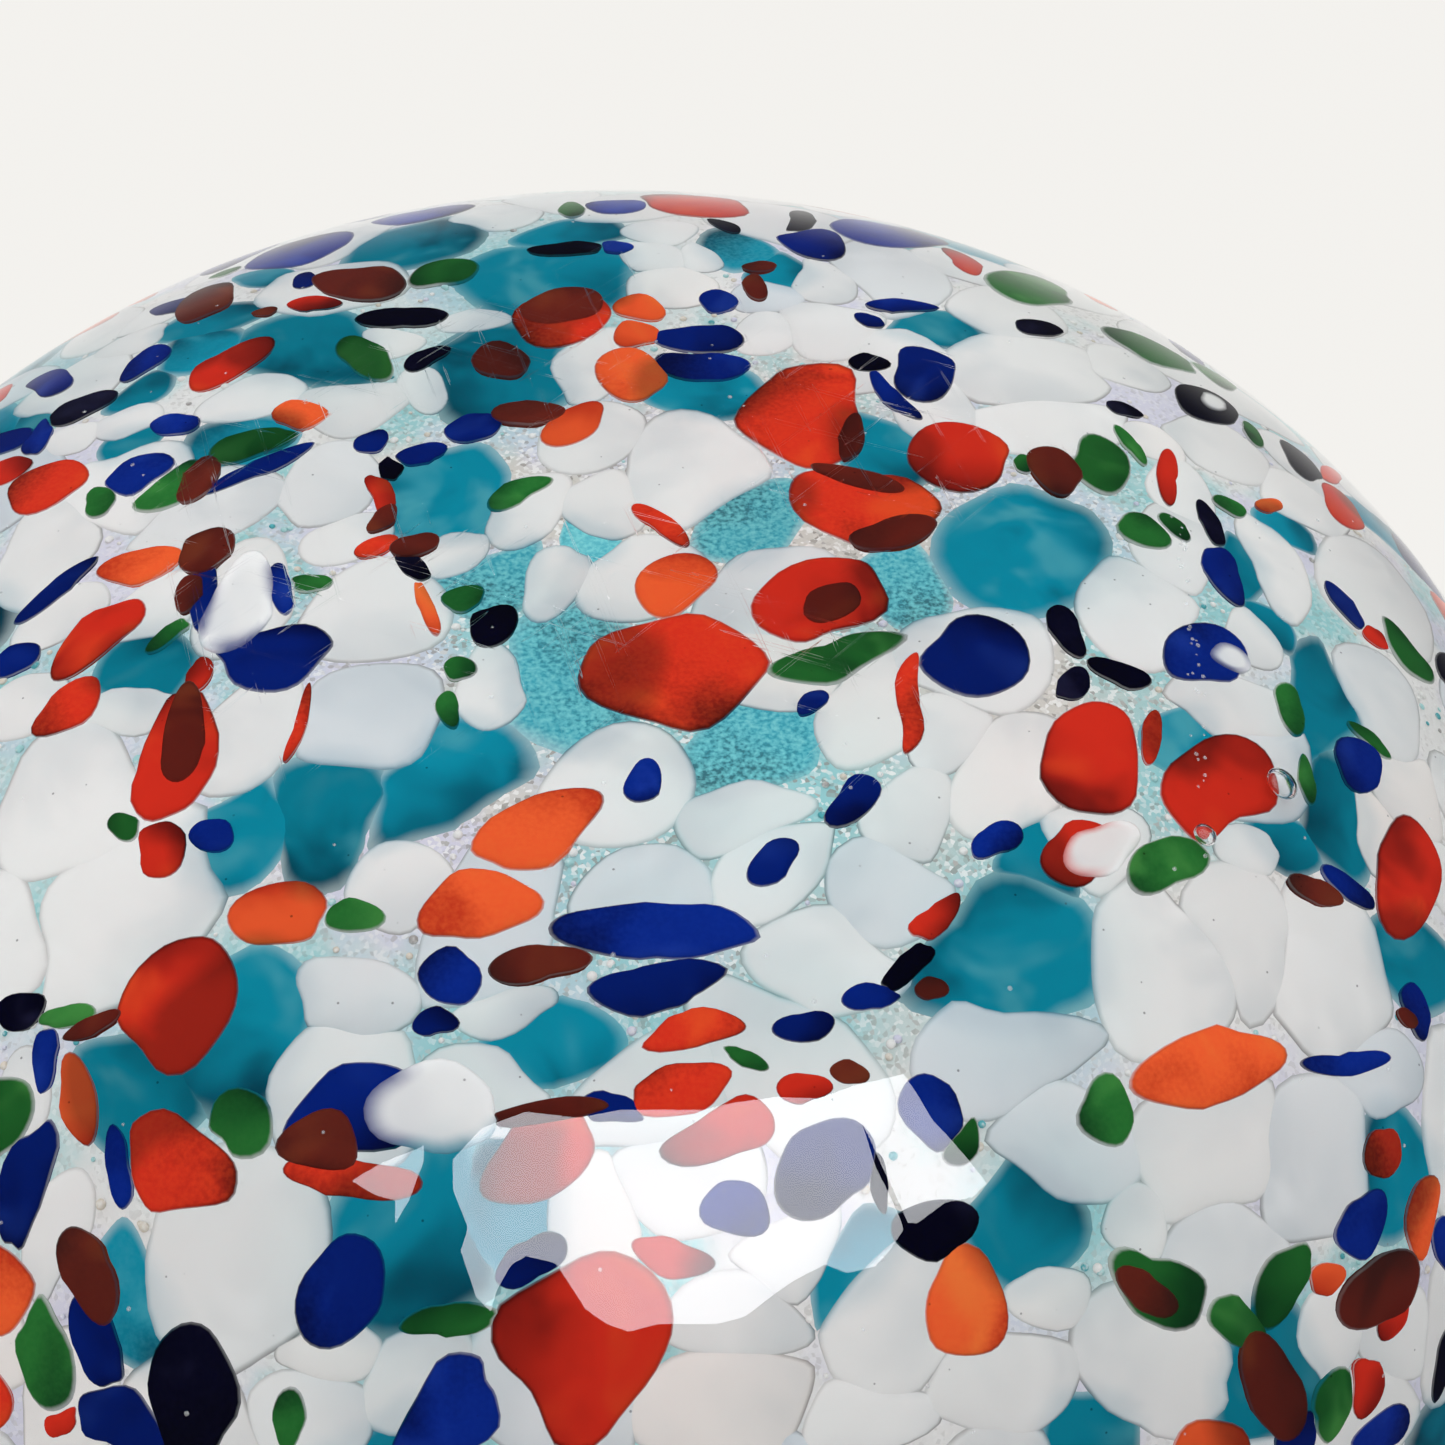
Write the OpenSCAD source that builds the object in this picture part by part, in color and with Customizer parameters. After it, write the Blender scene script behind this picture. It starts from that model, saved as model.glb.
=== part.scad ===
// Art glass bowl with chips of coloured glass laid between two layers of clear glass.
// The bowl stands mouth up on its flat base. The origin is the middle of the base.
// The chips are laid out flat, in millimetres, as they are seen from under the bowl:
// the distance from the middle of the base runs along the wall, so the layout wraps
// on to the bowl, and it stretches with the length of the wall. In the layout, x points
// to the bowl's -X side and y to its +Y side.

/* [Bowl] */
// Radius of the flat base
foot_r = 30; // [24:1:36]
// Radius of the wall's curve, from the base up to the lip
curve_r = 60; // [54:1:68]
// How far the wall runs on past its widest ring, in degrees
lip_turn = 18; // [8:1:30]

/* [Glass layers] */
// Thickness of the clear outer casing
casing_t = 1.2; // [0.8:0.1:2]
// Thickness of the bed of fine crushed glass
bed_t = 0.3; // [0.2:0.1:0.6]
// Thickness of the clear inner lining
lining_t = 2.2; // [1.5:0.1:4]

/* [Chips] */
// Thickness of the white and turquoise chips, which lie on the bed
deep_t = 0.8; // [0.5:0.1:1]
// Thickness of the coloured chips, which lie over the deep ones
upper_t = 0.4; // [0.3:0.1:0.6]
// Thickness of the dark and milk white chips, which lie over the coloured ones
spot_t = 0.25; // [0.2:0.05:0.4]
// Gap between neighbouring chips of one layer
chip_gap = 0.4; // [0.3:0.1:0.8]
// Clearance between one layer and the next
layer_gap = 0.05; // [0.05:0.05:0.1]

/* [Chips round the back] */
// Spacing of the deep chips that fill the rest of the bowl
deep_pitch = 11; // [10:1:14]
// Spacing of the coloured chips that fill the rest of the bowl
upper_pitch = 10; // [9:1:14]
// Bare band that the chips leave below the lip
lip_margin = 5; // [3:1:10]

/* [Hidden] */
$fn = 96;

// Chips laid by hand, each one [x, y, length, width, turn of its length in degrees]
white_layout = [
    [-21, 25, 5, 3.5, 0], [-14, 28, 5.5, 3, 10], [-48.5, 15.3, 5, 3.5, 20], [-18, 18.3, 6, 4.2, 120],
    [-24, 15.5, 8, 7, 40], [-31.5, 17.5, 9, 5.5, 40], [-43, 16, 5, 3.5, 0], [-34, 1.8, 15, 8, 35],
    [-25, 5, 12.5, 7, 75], [-46, 32, 8, 6, 40], [-45, 39, 8, 6, 45], [-13, 51, 9, 7, 80],
    [3, 45, 6, 5, 20], [2, 39, 6.5, 5.5, 0], [6.7, 39.5, 4.5, 4, 60], [4, 34, 8, 5.5, 10],
    [-3.5, 21, 10, 6, 70], [-3.2, 11.5, 10, 8, 60], [5.6, 6.8, 15.5, 10.5, 100], [25, 39, 16, 11.5, 80],
    [17.5, 27, 10.5, 8, 0], [12.3, 31.8, 6, 4.5, 30], [12, 26, 5.5, 5, 60], [17.7, 36, 7.5, 5.5, 70],
    [35, 33.5, 12.5, 10, 70], [36.5, 23.5, 16, 12, 20], [37.5, 14.2, 14, 8, 10], [46, 28, 9, 7, -10],
    [53, 17, 11, 8, 30], [47.8, 7, 8, 4.5, 80], [55.5, 0.2, 15, 6.7, 85], [68, 4, 16, 12, 60],
    [62, 14, 11, 9, 40], [64, -11.5, 12, 9, 70], [41, -8.5, 13, 9, 75], [46, 13.8, 6, 5, 0],
    [-48, -0.5, 14, 8.5, 80], [-22.5, -2, 6.5, 5, 20], [-14.2, -3.8, 7, 3, 65],
    [-8.6, 1.6, 9.5, 5.5, 60], [-2.3, 1.2, 8.5, 6.5, 80], [-6.3, -7, 10, 5.5, 60],
    [-30, -9.5, 13, 6.5, 78], [-20, -11, 12.5, 10.5, 60], [-45.5, -9, 8, 4.5, 40],
    [-37.8, -10, 8.5, 5.5, 50], [-47.5, -18, 7, 5, 20], [-38.5, -20.2, 8, 3.5, 5],
    [-28.3, -24.5, 11.5, 7, 70], [-19.8, -22.8, 11.5, 10, 40], [-10.3, -19.7, 7.5, 5.5, 100],
    [-42.3, -29, 16.5, 11.5, 100], [-38, -38.5, 16.5, 13, 30], [-16.5, -38.3, 6.5, 5.5, 0],
    [-19.8, -48, 9, 6.5, 5], [-8.5, -49.3, 6, 3, 5], [1.2, -6.6, 11, 8.5, 35],
    [11.3, -8.3, 13.5, 9.5, 50], [17.8, -21, 13, 7.5, 70], [27, -16, 12.5, 11, 45],
    [24, -23.5, 8, 5.5, 50], [28.7, -27.3, 13.5, 7.5, 65], [34, -33.6, 9.5, 6.5, 35],
    [-0.5, -29.3, 13.5, 9.5, 55], [8.2, -33, 11.5, 6.5, 20], [10, -37.4, 13.5, 7.5, 35],
    [1.6, -39.4, 11, 6.3, 10], [14.3, -45.2, 12.5, 7, 20], [18.5, -38.8, 10, 6.5, 40],
    [20.5, -32.5, 10, 5, 60], [47.5, -18.8, 12, 6.5, 15], [51.5, -9.5, 6, 4, 60],
    [40, -43, 15.5, 12, 30], [47.3, -38.5, 13, 11, 60], [55.3, -40, 14.5, 12.5, -30],
    [61, -26.5, 7, 3.5, 100], [48.5, -31.8, 6, 3.5, 25], [66, -21, 9, 7, 60],
    [27.3, -51.6, 13.5, 9.5, 20], [31.5, -57.3, 13, 8, -20], [44.3, -57, 15.5, 10.5, 25],
    [46.5, -63.5, 13, 8.5, 10], [54, -55.3, 13, 10.5, 45], [38, -62.6, 6.5, 4, -10],
    [18.7, -70.3, 13.5, 9.5, 40], [41, -72.3, 16.5, 9.5, -5], [28.5, -75.5, 12, 8, 10],
    [16.8, -77.5, 8.5, 6, 20], [7, -76.5, 11.5, 7, 25], [7.5, -70.8, 10, 5.5, 10],
    [-28.4, -64.8, 14, 13, 60], [-15.5, -74.5, 9, 5.5, 10], [-23.5, -77, 9, 7, 0],
    [-21.5, -72.2, 8, 3.5, 5], [-10.5, -55, 10.5, 5.5, 10], [30.8, -68.3, 5.2, 3.3, 0],
    [66, -67.5, 10, 8, 40], [57.5, -68.5, 8, 6, 60], [61, -47, 8, 6, 10], [4, -61.5, 9, 6, 15],
    [-2, -64, 8, 5.5, 40], [11.5, -66, 8, 5, 30], [-43, -62, 8, 3.5, 65], [-45.5, -52, 6, 3.5, 70]
];
turquoise_layout = [
    [-21, 44.7, 13.5, 10.5, 35], [-34.5, 41.5, 4, 3.5, 0], [-39, 32.3, 9.5, 5.5, 20],
    [-7, 35.5, 16.5, 12, 5], [-11, 20.5, 14.5, 12, 85], [-28, 24.7, 13, 10.5, -25],
    [-38.7, 26, 6.5, 5, 65], [-43, 20.7, 4.8, 3.8, 20], [-54, 20.5, 6, 5, 60],
    [-42.3, 12.3, 3.8, 3.6, 0], [-32.8, 9.7, 8, 4.5, 40], [-15, 4, 14, 9.5, 60], [-5, 45, 9.5, 5.5, 10],
    [10.5, 42, 9, 5.5, 70], [14.2, 37, 6, 4, 75], [6.3, 18, 7, 6, 0], [21.5, 9.5, 10.5, 5.5, 110],
    [27.5, 28.2, 7, 5.5, 30], [33, -3, 14.5, 13, 80], [51.9, -1, 8, 2.6, 90], [58.5, 6.5, 5, 2.5, 110],
    [58, -13, 15, 6, 62], [54.2, -7.3, 3, 2.6, 0], [-10.8, -7.5, 10, 5.5, 45], [-3.6, -3, 5, 3.6, 80],
    [-37.2, -16.3, 7.2, 5.8, 15], [-14, -28.8, 14.5, 9, 35], [-28.8, -33, 9, 5.8, 55],
    [-22.6, -32, 12.5, 7.4, 62], [-27, -49, 12, 9, 10], [-35.5, -52.8, 9, 6.5, 10],
    [9.8, 0, 9.5, 6.5, 45], [22, -8, 10, 6.5, 100], [-3.8, -17, 14, 10.5, 95], [9.5, -25.5, 9, 7, 40],
    [28, -43.5, 16.5, 10, 47], [31, -34.8, 6, 4, 50], [43.8, -22.5, 6, 3, 20],
    [57.3, -26.3, 10.5, 6.8, 95], [52, -29.5, 4.8, 4.2, 90], [65, -36.5, 7, 5, 0],
    [-37.4, -67.5, 10.5, 3.2, 100], [-15, -65.5, 12.5, 10.5, 80], [-7, -51.9, 10, 3.5, 5],
    [-9, -62.5, 9, 5.5, 80], [15.6, -67, 10, 3.4, 40], [28.7, -63.2, 8, 6, 80], [35, -78, 8, 4, 5],
    [63, -54.2, 7.8, 6.8, 40]
];
red_layout = [
    [-29, 32.2, 5.2, 2.6, -15], [-35, 22.8, 8.5, 4, 58], [-54.3, 13, 4, 4, 0],
    [-49.8, 8.7, 7.2, 6.9, 0], [6, 54.5, 11, 10, 0], [32.5, 45.5, 7.5, 3, 100],
    [-6, 28.6, 8.4, 7.8, 20], [15, 13.7, 13.5, 11, 80], [19.3, 2.2, 13, 9.5, -25],
    [27.7, 8.7, 9.2, 8.8, -20], [67.8, 17, 8.5, 4.6, 72], [69.3, 25.5, 8, 2, 60],
    [46.8, 8.5, 7.5, 1.8, 82], [65.3, -3.3, 3.2, 1.9, 5], [-20.6, 3.2, 7.5, 1.9, 100],
    [-20.3, -3.3, 3.8, 2.4, 20], [2.7, 0, 6.4, 2.2, -58], [15.2, -9.6, 12.2, 9.2, 60],
    [3.4, -17.8, 13.6, 11.6, 8], [21.2, -20.9, 9.5, 1.5, 78], [35.4, -25.6, 11.8, 6.8, 75],
    [40.6, -22.6, 5.2, 1.6, 75], [46, -26.2, 12.3, 7, 42], [64.6, -29, 10, 7, 60],
    [-41.9, -12.2, 9.5, 4, 55], [-43.4, -19, 5.4, 3.6, 45], [-34, -25.7, 12.8, 5, 88],
    [-34.5, -34.2, 5.4, 3.2, 110], [-24.8, -23.6, 7.4, 1.2, 85], [-32.2, -46.6, 9.4, 8.4, 40],
    [-32.2, -58, 9.4, 7.2, -15], [-20.4, -60.2, 9, 3.2, -14], [4.4, -50.8, 8.2, 2.6, 5],
    [3.6, -55, 6.8, 3.6, 15], [12.5, -54.7, 3.6, 2.2, 0], [21.4, -41.2, 7.4, 2, 50],
    [-3.6, -73, 13.4, 11.6, 40], [-44, -75.6, 3.2, 2.2, 10], [-6.5, -60, 9, 6.2, 20],
    [7, -58, 6.6, 3.6, 25], [3.2, -66.4, 6.2, 2.4, -10], [62.6, -71.2, 5.4, 3, -30],
    [-32.4, -18.4, 3.4, 2, 60], [33.2, -34.4, 7.6, 4.4, 48]
];
orange_layout = [
    [-28.2, 13.7, 4.6, 3.6, 60], [0.8, 30.1, 4.8, 4.3, 0], [0.6, 25.3, 4.5, 4.1, 80],
    [0.2, 19.6, 6.6, 5.8, 75], [-4.6, 12.8, 6.6, 4, 65], [3.7, -7.4, 7.2, 5.6, 60],
    [-38.9, -5.3, 6.8, 3.4, 5], [-16.2, -10.2, 6.4, 1.3, 96], [-25, -40.7, 7, 5.6, -5],
    [-6.6, -34.3, 10.8, 5, 36], [-11, -40.4, 8.2, 6, 0], [-40.4, -53.3, 5.7, 3.3, 95],
    [44, -50, 13.4, 4.9, 22], [24.4, -69.2, 7.4, 5.4, -50], [67, -57.2, 5.4, 4, 80],
    [56.4, -64.3, 3.2, 2.2, 20], [57, 10, 3.4, 2, 35]
];
cobalt_layout = [
    [-32, 48.2, 11, 9, 100], [-30, 38.2, 4.2, 3, 80], [-44, 26.2, 6.4, 3.6, 45], [-52, 17, 6.4, 3, 80],
    [-38.3, 13.9, 4.6, 3.7, -20], [-41, 7.6, 5.2, 4.4, 0], [-31, 6.6, 8.5, 1.4, 40],
    [-21.5, 10.4, 3, 2.6, 60], [-17.6, 9.2, 4.4, 2.2, 35], [-13, 12.8, 4.2, 3, 0],
    [-1.2, 52.8, 5.8, 5, 60], [-1.5, 40.4, 3, 2.6, 0], [18, 44.2, 6.8, 5.4, 80],
    [25.5, 51, 12.5, 9.5, 40], [24.5, 32, 8.5, 2, 0], [8.2, 31, 4.4, 3.2, -50],
    [6.5, 25.6, 7.2, 4.3, 2], [6.5, 21.3, 7, 4, 0], [25.9, 20.6, 7.3, 5.7, 80],
    [22.6, 17.2, 7.5, 1.5, 120], [21.4, 29.2, 4.6, 1.8, -30], [49.5, -3.1, 7.6, 3.2, 100],
    [62.6, -0.8, 5.6, 2.1, -55], [-46, -6, 8.6, 2.2, 40], [-49, -13, 4.2, 3, 20],
    [-33.1, -11.3, 9.5, 2.2, 96], [-27, -7.7, 6.6, 1.9, 95], [-27.2, -16.1, 8.4, 7.4, 20],
    [13.7, -21.6, 4.2, 1.7, 70], [27.2, -15.9, 9, 7.8, 50], [46.4, -13.6, 8.6, 5.4, 38],
    [60.6, -20.2, 5.4, 4.6, 40], [16.7, -31.1, 5.2, 3.4, 60], [26.8, -34.3, 3.8, 2.2, 45],
    [10.8, -37.3, 5.2, 2.8, 40], [1.3, -29.5, 5.4, 2.6, 68], [-31.2, -33.6, 3.2, 2, -20],
    [-12.6, -46.8, 5.2, 4.4, -10], [-13.7, -50.2, 3.2, 1.8, 0], [1.5, -43.2, 13.6, 4.8, -3],
    [2.4, -47.8, 12.2, 4.4, 3], [17.4, -47.4, 4.4, 1.9, 20], [57.6, -33, 5.8, 2.5, -20],
    [65, -40.5, 5.2, 3.2, 80], [56.5, -47.2, 8.6, 1.7, 10], [-43, -50, 5.2, 2, 80],
    [-37.4, -57.6, 4.4, 2.6, 85], [-19.5, -56, 11.5, 5.6, 15], [-45, -57.5, 14, 4, 72],
    [-40, -70.6, 6.2, 3.1, 100], [-39.8, -75.6, 7.2, 4.4, -20], [-20.7, -68, 7.2, 5.6, 45],
    [-12.5, -77, 11, 5, 35], [-7.4, -67.2, 4.4, 2.2, 30], [-1.5, -57, 6, 2.4, 5],
    [12.5, -50, 4.4, 1.9, 15], [21.2, -56, 5.6, 3.4, -45], [7.5, -63, 3.8, 3.2, -10],
    [14, -60, 8, 5.5, 30], [59, -59, 6.8, 4.6, 48], [55.5, -76.2, 4.4, 4, 0], [67, -74.2, 5.2, 3, 15]
];
navy_layout = [
    [-20.4, 28.6, 7.4, 3, 5], [-17.6, 21.8, 5, 2.2, 20], [-48.8, 20.5, 6, 4.4, 30],
    [-19.8, 7.2, 5.4, 1.6, 85], [-6, 40.6, 6.2, 2.9, -8], [9.6, 46.8, 4.6, 2, -40],
    [17, 51, 8, 2.8, 80], [20.4, 21.6, 3.4, 2.8, 0], [38, 31.3, 4.6, 2.8, 60], [54, 25.6, 8.4, 5.6, 58],
    [43.6, 18.2, 3.2, 2.6, 0], [49.5, 3.4, 6, 1.6, 90], [-16.8, -6, 4, 2, -50],
    [-11, -12.8, 5.4, 3.2, 55], [34.5, -13, 5.6, 2.4, -75], [38.4, -16.8, 4.6, 2.8, -5],
    [34.2, -19.2, 4.6, 2, 60], [20.2, -44.4, 6.6, 1.6, 50], [-45, -45.6, 3.4, 2.6, -10],
    [-33, -74.2, 8.6, 7.2, 60], [22.3, -64, 5.8, 3.8, 15], [17.8, -60.6, 6, 1.4, 110]
];
green_layout = [
    [-17, 36.6, 6.8, 4.6, 15], [-23.4, 22.6, 6.6, 4, -50], [-38, 4.8, 6.5, 4, 40],
    [-31.2, 10, 7, 3.2, 38], [-44, 4.6, 4.8, 3, 80], [-5.6, 52, 6, 3, 90], [39, 42, 11, 8, 60],
    [50.3, 34.8, 10.4, 7.2, 0], [58, 23, 4.2, 2, 80], [33, 7.8, 2.8, 2, 90], [40.2, 8.6, 7.6, 5, 95],
    [43.4, 12, 6, 1.5, 112], [52.5, 7.3, 3, 2.6, 0], [43.2, 0.6, 5, 4, 80], [46, 2, 3.4, 1.9, 110],
    [-9, 3.6, 5.6, 2.4, 38], [-13.2, -9.8, 3.4, 2.6, 60], [-13.6, -17.8, 2.8, 2.2, 0],
    [-13.5, -22, 3.4, 1.9, 100], [-25, -7.6, 3, 2.2, 0], [-36, -13.2, 5.4, 2, 45],
    [-37.4, -31.6, 3.2, 2, 100], [-20, -40.5, 3.6, 3, 0], [15.3, -16.4, 10, 4.4, 22],
    [40.7, -34.2, 8, 4, 36], [53, -17.3, 4.8, 3.1, 95], [54.4, -23, 4.4, 1.6, 95],
    [62, -16.8, 5.2, 1.6, -20], [-41.6, -46.8, 3.8, 1.9, 5], [-28, -55.6, 5.2, 4.6, 40],
    [-45, -69.8, 8.8, 4.6, 95], [-12.5, -71, 8, 2.2, 4], [8, -53, 3.4, 1.2, -10],
    [23.6, -58, 3.2, 2, 60], [35.2, -54.8, 4.6, 4.2, 80], [40.4, -66.8, 8.9, 5, -14],
    [47.6, -68.4, 5.4, 2.4, -8], [52.6, -64.6, 7.4, 3.4, 52], [58.8, -73.4, 6, 5.6, 0]
];
brown_layout = [
    [-40, 36.5, 9.5, 5.4, 92], [-25, 35.4, 8.8, 7, -30], [-33.3, 31.4, 2.2, 1.7, 0],
    [-35.5, 5.4, 4.8, 3, 70], [-10.9, 21.5, 5.2, 4.9, 0], [-6.2, 30, 7.4, 4.6, 15],
    [-8.6, 14, 5.6, 3, 10], [12, 36.8, 2.6, 2.1, 0], [11.8, 33, 4.2, 2, 95], [19, 10.9, 6.4, 1.8, 75],
    [19, 5.6, 8.6, 2.2, -24], [21.5, -1.4, 7.4, 3.8, 8], [35.7, 7, 6.8, 4.2, 102],
    [-20, 0.2, 3.2, 2, 60], [-17, -3.4, 3.4, 2.4, 30], [-33.8, -4.3, 5.4, 3.9, 72],
    [-34.6, -8.8, 4, 1.9, 80], [16, -10.4, 5, 3.8, 70], [-33.4, -24, 8, 2.8, 88],
    [-6.4, -46, 6.2, 2.6, 5], [-39.2, -47.8, 4.6, 1.4, 25], [21.4, -47, 2.2, 1.6, 0],
    [53.8, -34.2, 4.6, 1.9, -12], [63, -42, 2.2, 1.6, 0], [-40.2, -65, 7, 3.2, 105],
    [-21.6, -57.8, 5.4, 3.8, 0], [-6, -56.9, 8, 1.6, 0], [15.5, -53.6, 2.4, 1.6, 0],
    [39, -67.2, 5, 2.8, -14], [62.5, -63.6, 9.5, 5, 30], [51.7, -72.7, 9, 4.6, -52]
];
milk_layout = [
    [48.6, -13.6, 3.2, 2.4, 60], [-30.2, -10.4, 11, 5, 84], [-13.6, -56.2, 8.4, 6, -4],
    [54.8, 26, 4.6, 2.4, 60], [34.8, -34.2, 6.4, 4, 42]
];

// The bowl that the layout is drawn for: base radius, wall curve and lip turn
layout_foot = 30;
layout_curve = 60;
layout_turn = 18;
// The part of the layout that the lists above cover, as an ellipse: middle and half sizes
patch_mid = [8, -10];
patch_half = [62, 72];
// Room that a filling chip leaves round the chips laid by hand
fill_room = 2.2;
// How far a filling chip strays from its even place, as a share of the spacing
stray = 0.28;
// Mean length of the filling chips and how far they differ from it, as shares of the spacing
deep_mean = 1.2;
deep_spread = 0.3;
upper_mean = 0.62;
upper_spread = 0.42;
// Mean width of the filling chips and how far they differ from it, as shares of their length
width_share = 0.72;
width_spread = 0.2;
// Seeds of the deep and of the coloured filling chips
deep_seed = 40;
upper_seed = 80;
// Share of the deep filling that is turquoise
turquoise_share = 0.27;
// Share of each colour in the coloured filling, of which green has the rest
red_share = 0.26;
orange_share = 0.15;
cobalt_share = 0.27;
navy_share = 0.1;
// Longest chip of each layer, which sets the room that the flat chips need on the curved wall
deep_long = 16.5;
upper_long = 14;
spot_long = 9.5;
// Depth under the outer face that no chip reaches, for the same sum
deepest = 6;
// Corners of a chip's outline
corners = 10;
small_corners = 8;
small_long = 6;
// A squeezed chip keeps this much of its radius
least_r = 0.5;
// A cut acts only on corners whose direction has at least this cosine to the cut's own
least_slope = 0.05;

// Height of a flat chip's corner above a round wall of radius r, for a chip of this length and thickness
function corner_rise(r, long, t) = norm([r + t, long / 2]) - r;
// Length of the wall from the middle of the base to the lip, and how far the layout stretches to fill it
layout_length = layout_foot + layout_curve * (90 + layout_turn) * PI / 180;
wall_length = foot_r + curve_r * (90 + lip_turn) * PI / 180;
stretch = wall_length / layout_length;
// Room between casing and bed, and each layer's height above the bed
bed_r = curve_r - deepest;
deep_base = layer_gap;
upper_base = deep_base + corner_rise(bed_r, stretch * deep_long, deep_t) + layer_gap;
spot_base = upper_base + corner_rise(bed_r, stretch * upper_long, upper_t) + layer_gap;
chip_room = spot_base + corner_rise(bed_r, stretch * spot_long, spot_t) + layer_gap;
bed_depth = casing_t + chip_room;
lining_depth = bed_depth + bed_t;
wall_t = lining_depth + lining_t;

// The wall at a distance s along it from the middle of the base, at a depth d under the outer face
function wall_turn(s) = s < foot_r ? 0 : (s - foot_r) / curve_r * 180 / PI;
function wall_radius(s, d) = s < foot_r ? s : foot_r + (curve_r - d) * sin(wall_turn(s));
function wall_height(s, d) = curve_r - (curve_r - d) * cos(wall_turn(s));
function around(p) = atan2(p.y, -p.x);

// A chip on the wall: [stretched layout place, length, width, turn, middle, inward axis, sideways axis]
function chip(c) =
    let (
        p = stretch * [c[0], c[1]],
        s = norm(p),
        t = wall_turn(s),
        a = around(p),
        r = wall_radius(s, bed_depth)
    )
    [p, stretch * c[2], stretch * c[3], c[4] - atan2(p.y, p.x),
        [r * cos(a), r * sin(a), wall_height(s, bed_depth)],
        [-cos(t) * cos(a), -cos(t) * sin(a), -sin(t)],
        [-sin(a), cos(a), 0]];
// Radius of a chip's oval towards the direction v
function reach(c, v) =
    let (w = atan2(v * c[6], v * c[5]) - c[3])
    1 / norm([2 * cos(w) / c[1], 2 * sin(w) / c[2]]);
// Straight cuts that part a chip from the neighbours its oval runs into: [direction, distance]
function cuts(c, all) = [
    for (n = all)
        let (v = n[4] - c[4], far = norm(v))
        if (far > 0 && far < (c[1] + n[1]) / 2)
            let (here = reach(c, v), there = reach(n, -v))
            if (here + there + chip_gap > far)
                [atan2(v * c[6], v * c[5]), far * here / (here + there) - chip_gap / 2]
];
function cut_radius(w, cut) = cos(w - cut[0]) > least_slope ? cut[1] / cos(w - cut[0]) : 2 * deep_long;
function outline(c, all) =
    let (
        n = c[1] < small_long ? small_corners : corners,
        near = cuts(c, all)
    )
    [for (k = [0 : n - 1])
        let (
            oval = [c[1] / 2 * cos(k * 360 / n), c[2] / 2 * sin(k * 360 / n)],
            w = atan2(oval.y, oval.x) + c[3],
            r = max(least_r, min(concat([norm(oval)], [for (cut = near) cut_radius(w, cut)])))
        )
        r * [cos(w), sin(w)]];

// Filling chips in rings up the wall: [x, y, length, width, turn, draw], where draw picks the colour
function layout_radius(s) =
    s < layout_foot ? s : layout_foot + layout_curve * sin((s - layout_foot) / layout_curve * 180 / PI);
function ring_count(s, pitch) = max(1, floor(2 * PI * layout_radius(s) / pitch));
function filling(pitch, seed, mean, spread, longest) = [
    for (k = [1 : floor((layout_length - lip_margin - pitch / 2) / pitch)])
        let (s = k * pitch, n = ring_count(s, pitch), draw = rands(-1, 1, 6 * n, seed + k))
        for (i = [0 : n - 1])
            let (
                d = [for (j = [0 : 5]) draw[6 * i + j]],
                a = (i + k / 2 + stray * d[0]) * 360 / n,
                away = s + stray * pitch * d[1],
                long = min(longest, pitch * (mean + spread * d[2]))
            )
            [
                away * cos(a), away * sin(a),
                long, long * (width_share + width_spread * d[3]),
                180 * d[4], (d[5] + 1) / 2
            ]
];
function in_patch(c) = norm([(c[0] - patch_mid.x) / patch_half.x, (c[1] - patch_mid.y) / patch_half.y]) < 1;
// True where a filling chip's middle lies clear of every chip in a list laid by hand
function is_clear(c, laid) = min([
    for (h = laid)
        let (d = [c[0] - h[0], c[1] - h[1]], w = atan2(d.y, d.x) - h[4])
        norm(d) - 1 / norm([2 * cos(w) / h[2], 2 * sin(w) / h[3]])
]) > fill_room;

deep_laid = concat(white_layout, turquoise_layout);
deep_fill = [
    for (c = filling(deep_pitch, deep_seed, deep_mean, deep_spread, deep_long))
        if (is_clear(c, deep_laid)) c
];
function is_turquoise(c) = !in_patch(c) && c[5] <= turquoise_share;
white_all = concat(white_layout, [for (c = deep_fill) if (!is_turquoise(c)) c]);
turquoise_all = concat(turquoise_layout, [for (c = deep_fill) if (is_turquoise(c)) c]);

upper_laid = concat(red_layout, orange_layout, cobalt_layout, navy_layout, green_layout);
upper_fill = [
    for (c = filling(upper_pitch, upper_seed, upper_mean, upper_spread, upper_long))
        if (!in_patch(c) && is_clear(c, upper_laid)) c
];
// The filling chips whose draw lies past the shares before them, within a share of their own
function drawn(before, share) = [for (c = upper_fill) if (c[5] >= before && c[5] < before + share) c];
red_all = concat(red_layout, drawn(0, red_share));
orange_all = concat(orange_layout, drawn(red_share, orange_share));
cobalt_all = concat(cobalt_layout, drawn(red_share + orange_share, cobalt_share));
navy_all = concat(navy_layout, drawn(red_share + orange_share + cobalt_share, navy_share));
green_all = concat(green_layout, drawn(red_share + orange_share + cobalt_share + navy_share, 1));

deep_chips = [for (c = concat(white_all, turquoise_all)) chip(c)];
upper_chips = [for (c = concat(red_all, orange_all, cobalt_all, navy_all, green_all)) chip(c)];
spot_chips = [for (c = concat(brown_layout, milk_layout)) chip(c)];

// Section of a layer of the wall between two depths under the outer face
module layer_section(from, to) {
    far = 2 * (foot_r + curve_r);
    translate([0, from]) square([foot_r, to - from]);
    intersection() {
        translate([foot_r, curve_r]) difference() {
            circle(curve_r - from);
            circle(curve_r - to);
        }
        translate([foot_r, curve_r]) polygon([[0, 0], [0, -far], [far, -far], [far, far * tan(lip_turn)]]);
    }
}

module wall_layer(from, to) {
    rotate_extrude() layer_section(from, to);
}

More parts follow.
